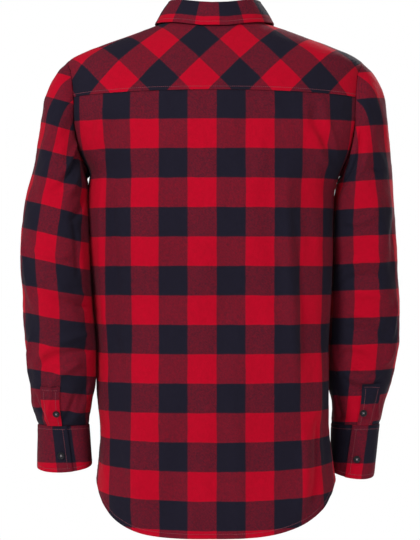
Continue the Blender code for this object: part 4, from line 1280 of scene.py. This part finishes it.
def button_mesh():
    """A four-hole button about its own Z axis, its back at the origin."""
    radius, thick = BUTTON_RADIUS, BUTTON_THICKNESS
    profile = [(0.0, 0.0), (0.70, 0.0), (0.93, 0.16), (1.0, 0.45), (0.985, 0.72), (0.93, 0.92), (0.84, 1.0),
               (0.75, 0.95), (0.68, 0.80), (0.60, 0.70), (0.40, 0.66), (0.0, 0.65)]
    mesh = bpy.data.meshes.new("button_body")
    obj = bpy.data.objects.new("button_body", mesh)
    bpy.context.scene.collection.objects.link(obj)
    turn = np.arange(48) * 2 * math.pi / 48
    points, faces = [(0, 0, 0)], []
    for r, h in profile[1:-1]:
        points += [(radius * r * math.cos(a), radius * r * math.sin(a), thick * h) for a in turn]
    points.append((0, 0, thick * profile[-1][1]))
    rings, sides = len(profile) - 2, len(turn)
    for s in range(sides):
        t = (s + 1) % sides
        faces.append([0, 1 + t, 1 + s])
        for k in range(rings - 1):
            low, high = 1 + k * sides, 1 + (k + 1) * sides
            faces.append([low + s, low + t, high + t, high + s])
        top = 1 + (rings - 1) * sides
        faces.append([len(points) - 1, top + s, top + t])
    mesh.from_pydata((np.array(points) * MM).tolist(), [], faces)
    cutters = []
    for x, y in ((1, 1), (1, -1), (-1, 1), (-1, -1)):
        bpy.ops.mesh.primitive_cylinder_add(vertices=20, radius=HOLE_RADIUS * MM, depth=4 * thick * MM,
                                            location=(x * HOLE_OFFSET * MM, y * HOLE_OFFSET * MM, 0))
        cutters.append(bpy.context.object)
    for cutter in cutters:
        cut = obj.modifiers.new("hole", "BOOLEAN")
        cut.object, cut.operation, cut.solver = cutter, "DIFFERENCE", "EXACT"
    bpy.context.view_layer.update()
    done = bpy.data.meshes.new_from_object(obj.evaluated_get(bpy.context.evaluated_depsgraph_get()))
    for made in cutters + [obj]:
        bpy.data.objects.remove(made)
    done.materials.clear()
    done.materials.append(HORN_RESIN)
    done.shade_smooth()
    done.set_sharp_from_angle(angle=math.radians(38))
    return done


def tie_mesh():
    """The thread that crosses a button's holes: two pairs of parallel strands, the second over the first."""
    points, faces, sides = [], [], 6
    for strand in (-0.24, 0.24):
        for corner, lift in ((1, 0.0), (-1, 0.35)):
            start = np.array([-HOLE_OFFSET, -HOLE_OFFSET * corner, 0.0])
            end = -start
            side = unit(np.array([-(end - start)[1], (end - start)[0], 0.0]))
            steps = np.linspace(0, 1, 9)
            base = len(points)
            for t in steps:
                arch = math.sin(math.pi * t) ** 0.6
                centre = start + (end - start) * t + side * strand
                centre[2] = BUTTON_THICKNESS * 0.5 + arch * (0.75 + lift)
                for a in np.arange(sides) * 2 * math.pi / sides:
                    points.append(centre + side * 0.25 * math.cos(a) + np.array([0, 0, 0.25 * math.sin(a)]))
            for k in range(len(steps) - 1):
                for s in range(sides):
                    t = (s + 1) % sides
                    low, high = base + k * sides, base + (k + 1) * sides
                    faces.append([low + s, low + t, high + t, high + s])
    mesh = bpy.data.meshes.new("button_thread")
    mesh.from_pydata((np.array(points) * MM).tolist(), [], faces)
    mesh.materials.append(BUTTON_SEWING)
    mesh.shade_smooth()
    return mesh


def add_buttons():
    body, tie = button_mesh(), tie_mesh()
    for name in sorted(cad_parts):
        if not name.startswith("button_"):
            continue
        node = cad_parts[name]
        points = np.array([v.co for v in node.data.vertices])
        centre = points.mean(axis=0)
        axis = np.linalg.svd(points - centre)[2][2]
        rear = "cuff" in name or "sleeve" in name
        axis *= np.sign(axis[1]) if rear else -np.sign(axis[1])
        seat = centre + axis * ((points - centre) @ axis).min()
        spin = Vector(axis).to_track_quat("Z", "Y")
        for piece_name, mesh in ((f"shown_{name}", body), (f"thread_{name}", tie)):
            obj = bpy.data.objects.new(piece_name, mesh.copy())
            bpy.context.scene.collection.objects.link(obj)
            obj.rotation_mode = "QUATERNION"
            obj.rotation_quaternion = spin
            obj.location = seat
            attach(obj, "root")
            if mesh is body:
                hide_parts(name)


# ---- studio ----

FLOOR = -1.06
FLOOR_SIZE = 3.0
CAMERA = (0.0069, 3.2, -0.3727)
FRAME_HEIGHT = 0.8316  # of the view at y = 0
SKY_DIMS = (0.16, 0.5) # heights, as the sine of the elevation, between which the white surroundings grow dim
SKY_TOP = 0.25         # their brightness overhead


def studio_material(name, colour):
    made = bpy.data.materials.new(name)
    made.use_nodes = True
    n = Nodes(made)
    place = n.add("ShaderNodeTexCoord").outputs["Object"]
    grain = n.noise(place, 6.0, 3.0)
    n.put(n.shader.inputs["Base Color"], n.mix(grain, (*[c * 0.985 for c in colour], 1), (*colour, 1)))
    n.shader.inputs["Roughness"].default_value = 0.9
    n.shader.inputs["Specular IOR Level"].default_value = 0.1
    return made


def add_studio():
    world = bpy.data.worlds.new("studio")
    bpy.context.scene.world = world
    world.use_nodes = True
    bpy.context.scene.view_settings.view_transform = "Standard"
    tree = world.node_tree
    background = tree.nodes["Background"]
    background.inputs["Strength"].default_value = 1.0
    place, split = tree.nodes.new("ShaderNodeTexCoord"), tree.nodes.new("ShaderNodeSeparateXYZ")
    dim = tree.nodes.new("ShaderNodeMapRange")
    dim.inputs["From Min"].default_value, dim.inputs["From Max"].default_value = SKY_DIMS
    dim.inputs["To Min"].default_value, dim.inputs["To Max"].default_value = 1.0, SKY_TOP
    tree.links.new(place.outputs["Generated"], split.inputs[0])
    tree.links.new(split.outputs["Z"], dim.inputs["Value"])
    tree.links.new(dim.outputs[0], background.inputs["Color"])

    bpy.ops.mesh.primitive_plane_add(size=FLOOR_SIZE, location=(0, 0, FLOOR))
    floor = bpy.context.object
    floor.name = "floor"
    floor.data.materials.append(studio_material("floor", (0.97, 0.97, 0.97)))

    def area(name, place, target, size, power):
        light = bpy.data.lights.new(name, "AREA")
        light.shape = "RECTANGLE"
        light.size, light.size_y = size
        light.energy = power
        obj = bpy.data.objects.new(name, light)
        obj.location = place
        obj.rotation_euler = (Vector(target) - Vector(place)).to_track_quat("-Z", "Y").to_euler()
        bpy.context.scene.collection.objects.link(obj)

    middle = (0, 0, -0.35)
    area("key", (1.7, 2.7, 1.5), middle, (0.9, 0.9), 150)
    area("fill", (-2.4, 2.2, 0.0), middle, (1.5, 2.0), 16)
    area("front_key", (-1.7, -2.7, 1.5), middle, (0.9, 0.9), 150)
    area("overhead", (0, 0.2, 2.4), middle, (2.4, 1.6), 14)

    camera = bpy.data.cameras.new("camera")
    camera.sensor_width = 36
    camera.lens = camera.sensor_width * CAMERA[1] / FRAME_HEIGHT
    obj = bpy.data.objects.new("camera", camera)
    obj.location = CAMERA
    obj.rotation_euler = (math.pi / 2, 0, math.pi)
    bpy.context.scene.collection.objects.link(obj)
    bpy.context.scene.camera = obj


def main():
    add_back()
    add_yoke()
    outer, normals, _ = add_front("front_left", 1)
    add_front("front_right", -1)
    add_placket(outer, normals)
    add_stand()
    add_leaf()
    placket_plaid = {"left": straight(SQUARE, 568.0), "right": straight(0.0, 578.4)}
    cuff_plaid = {"left": straight(2.0, 57.0, height=CUFF_ROW),
                  "right": straight(47.6, 60.0, height=CUFF_ROW)}
    for sleeve in (LEFT, RIGHT):
        grid, shown, facing = add_sleeve(sleeve)
        add_sleeve_placket(sleeve, grid, shown, facing, placket_plaid[sleeve.word])
        add_cuff(sleeve, cuff_plaid[sleeve.word])
    add_buttons()
    add_studio()


main()
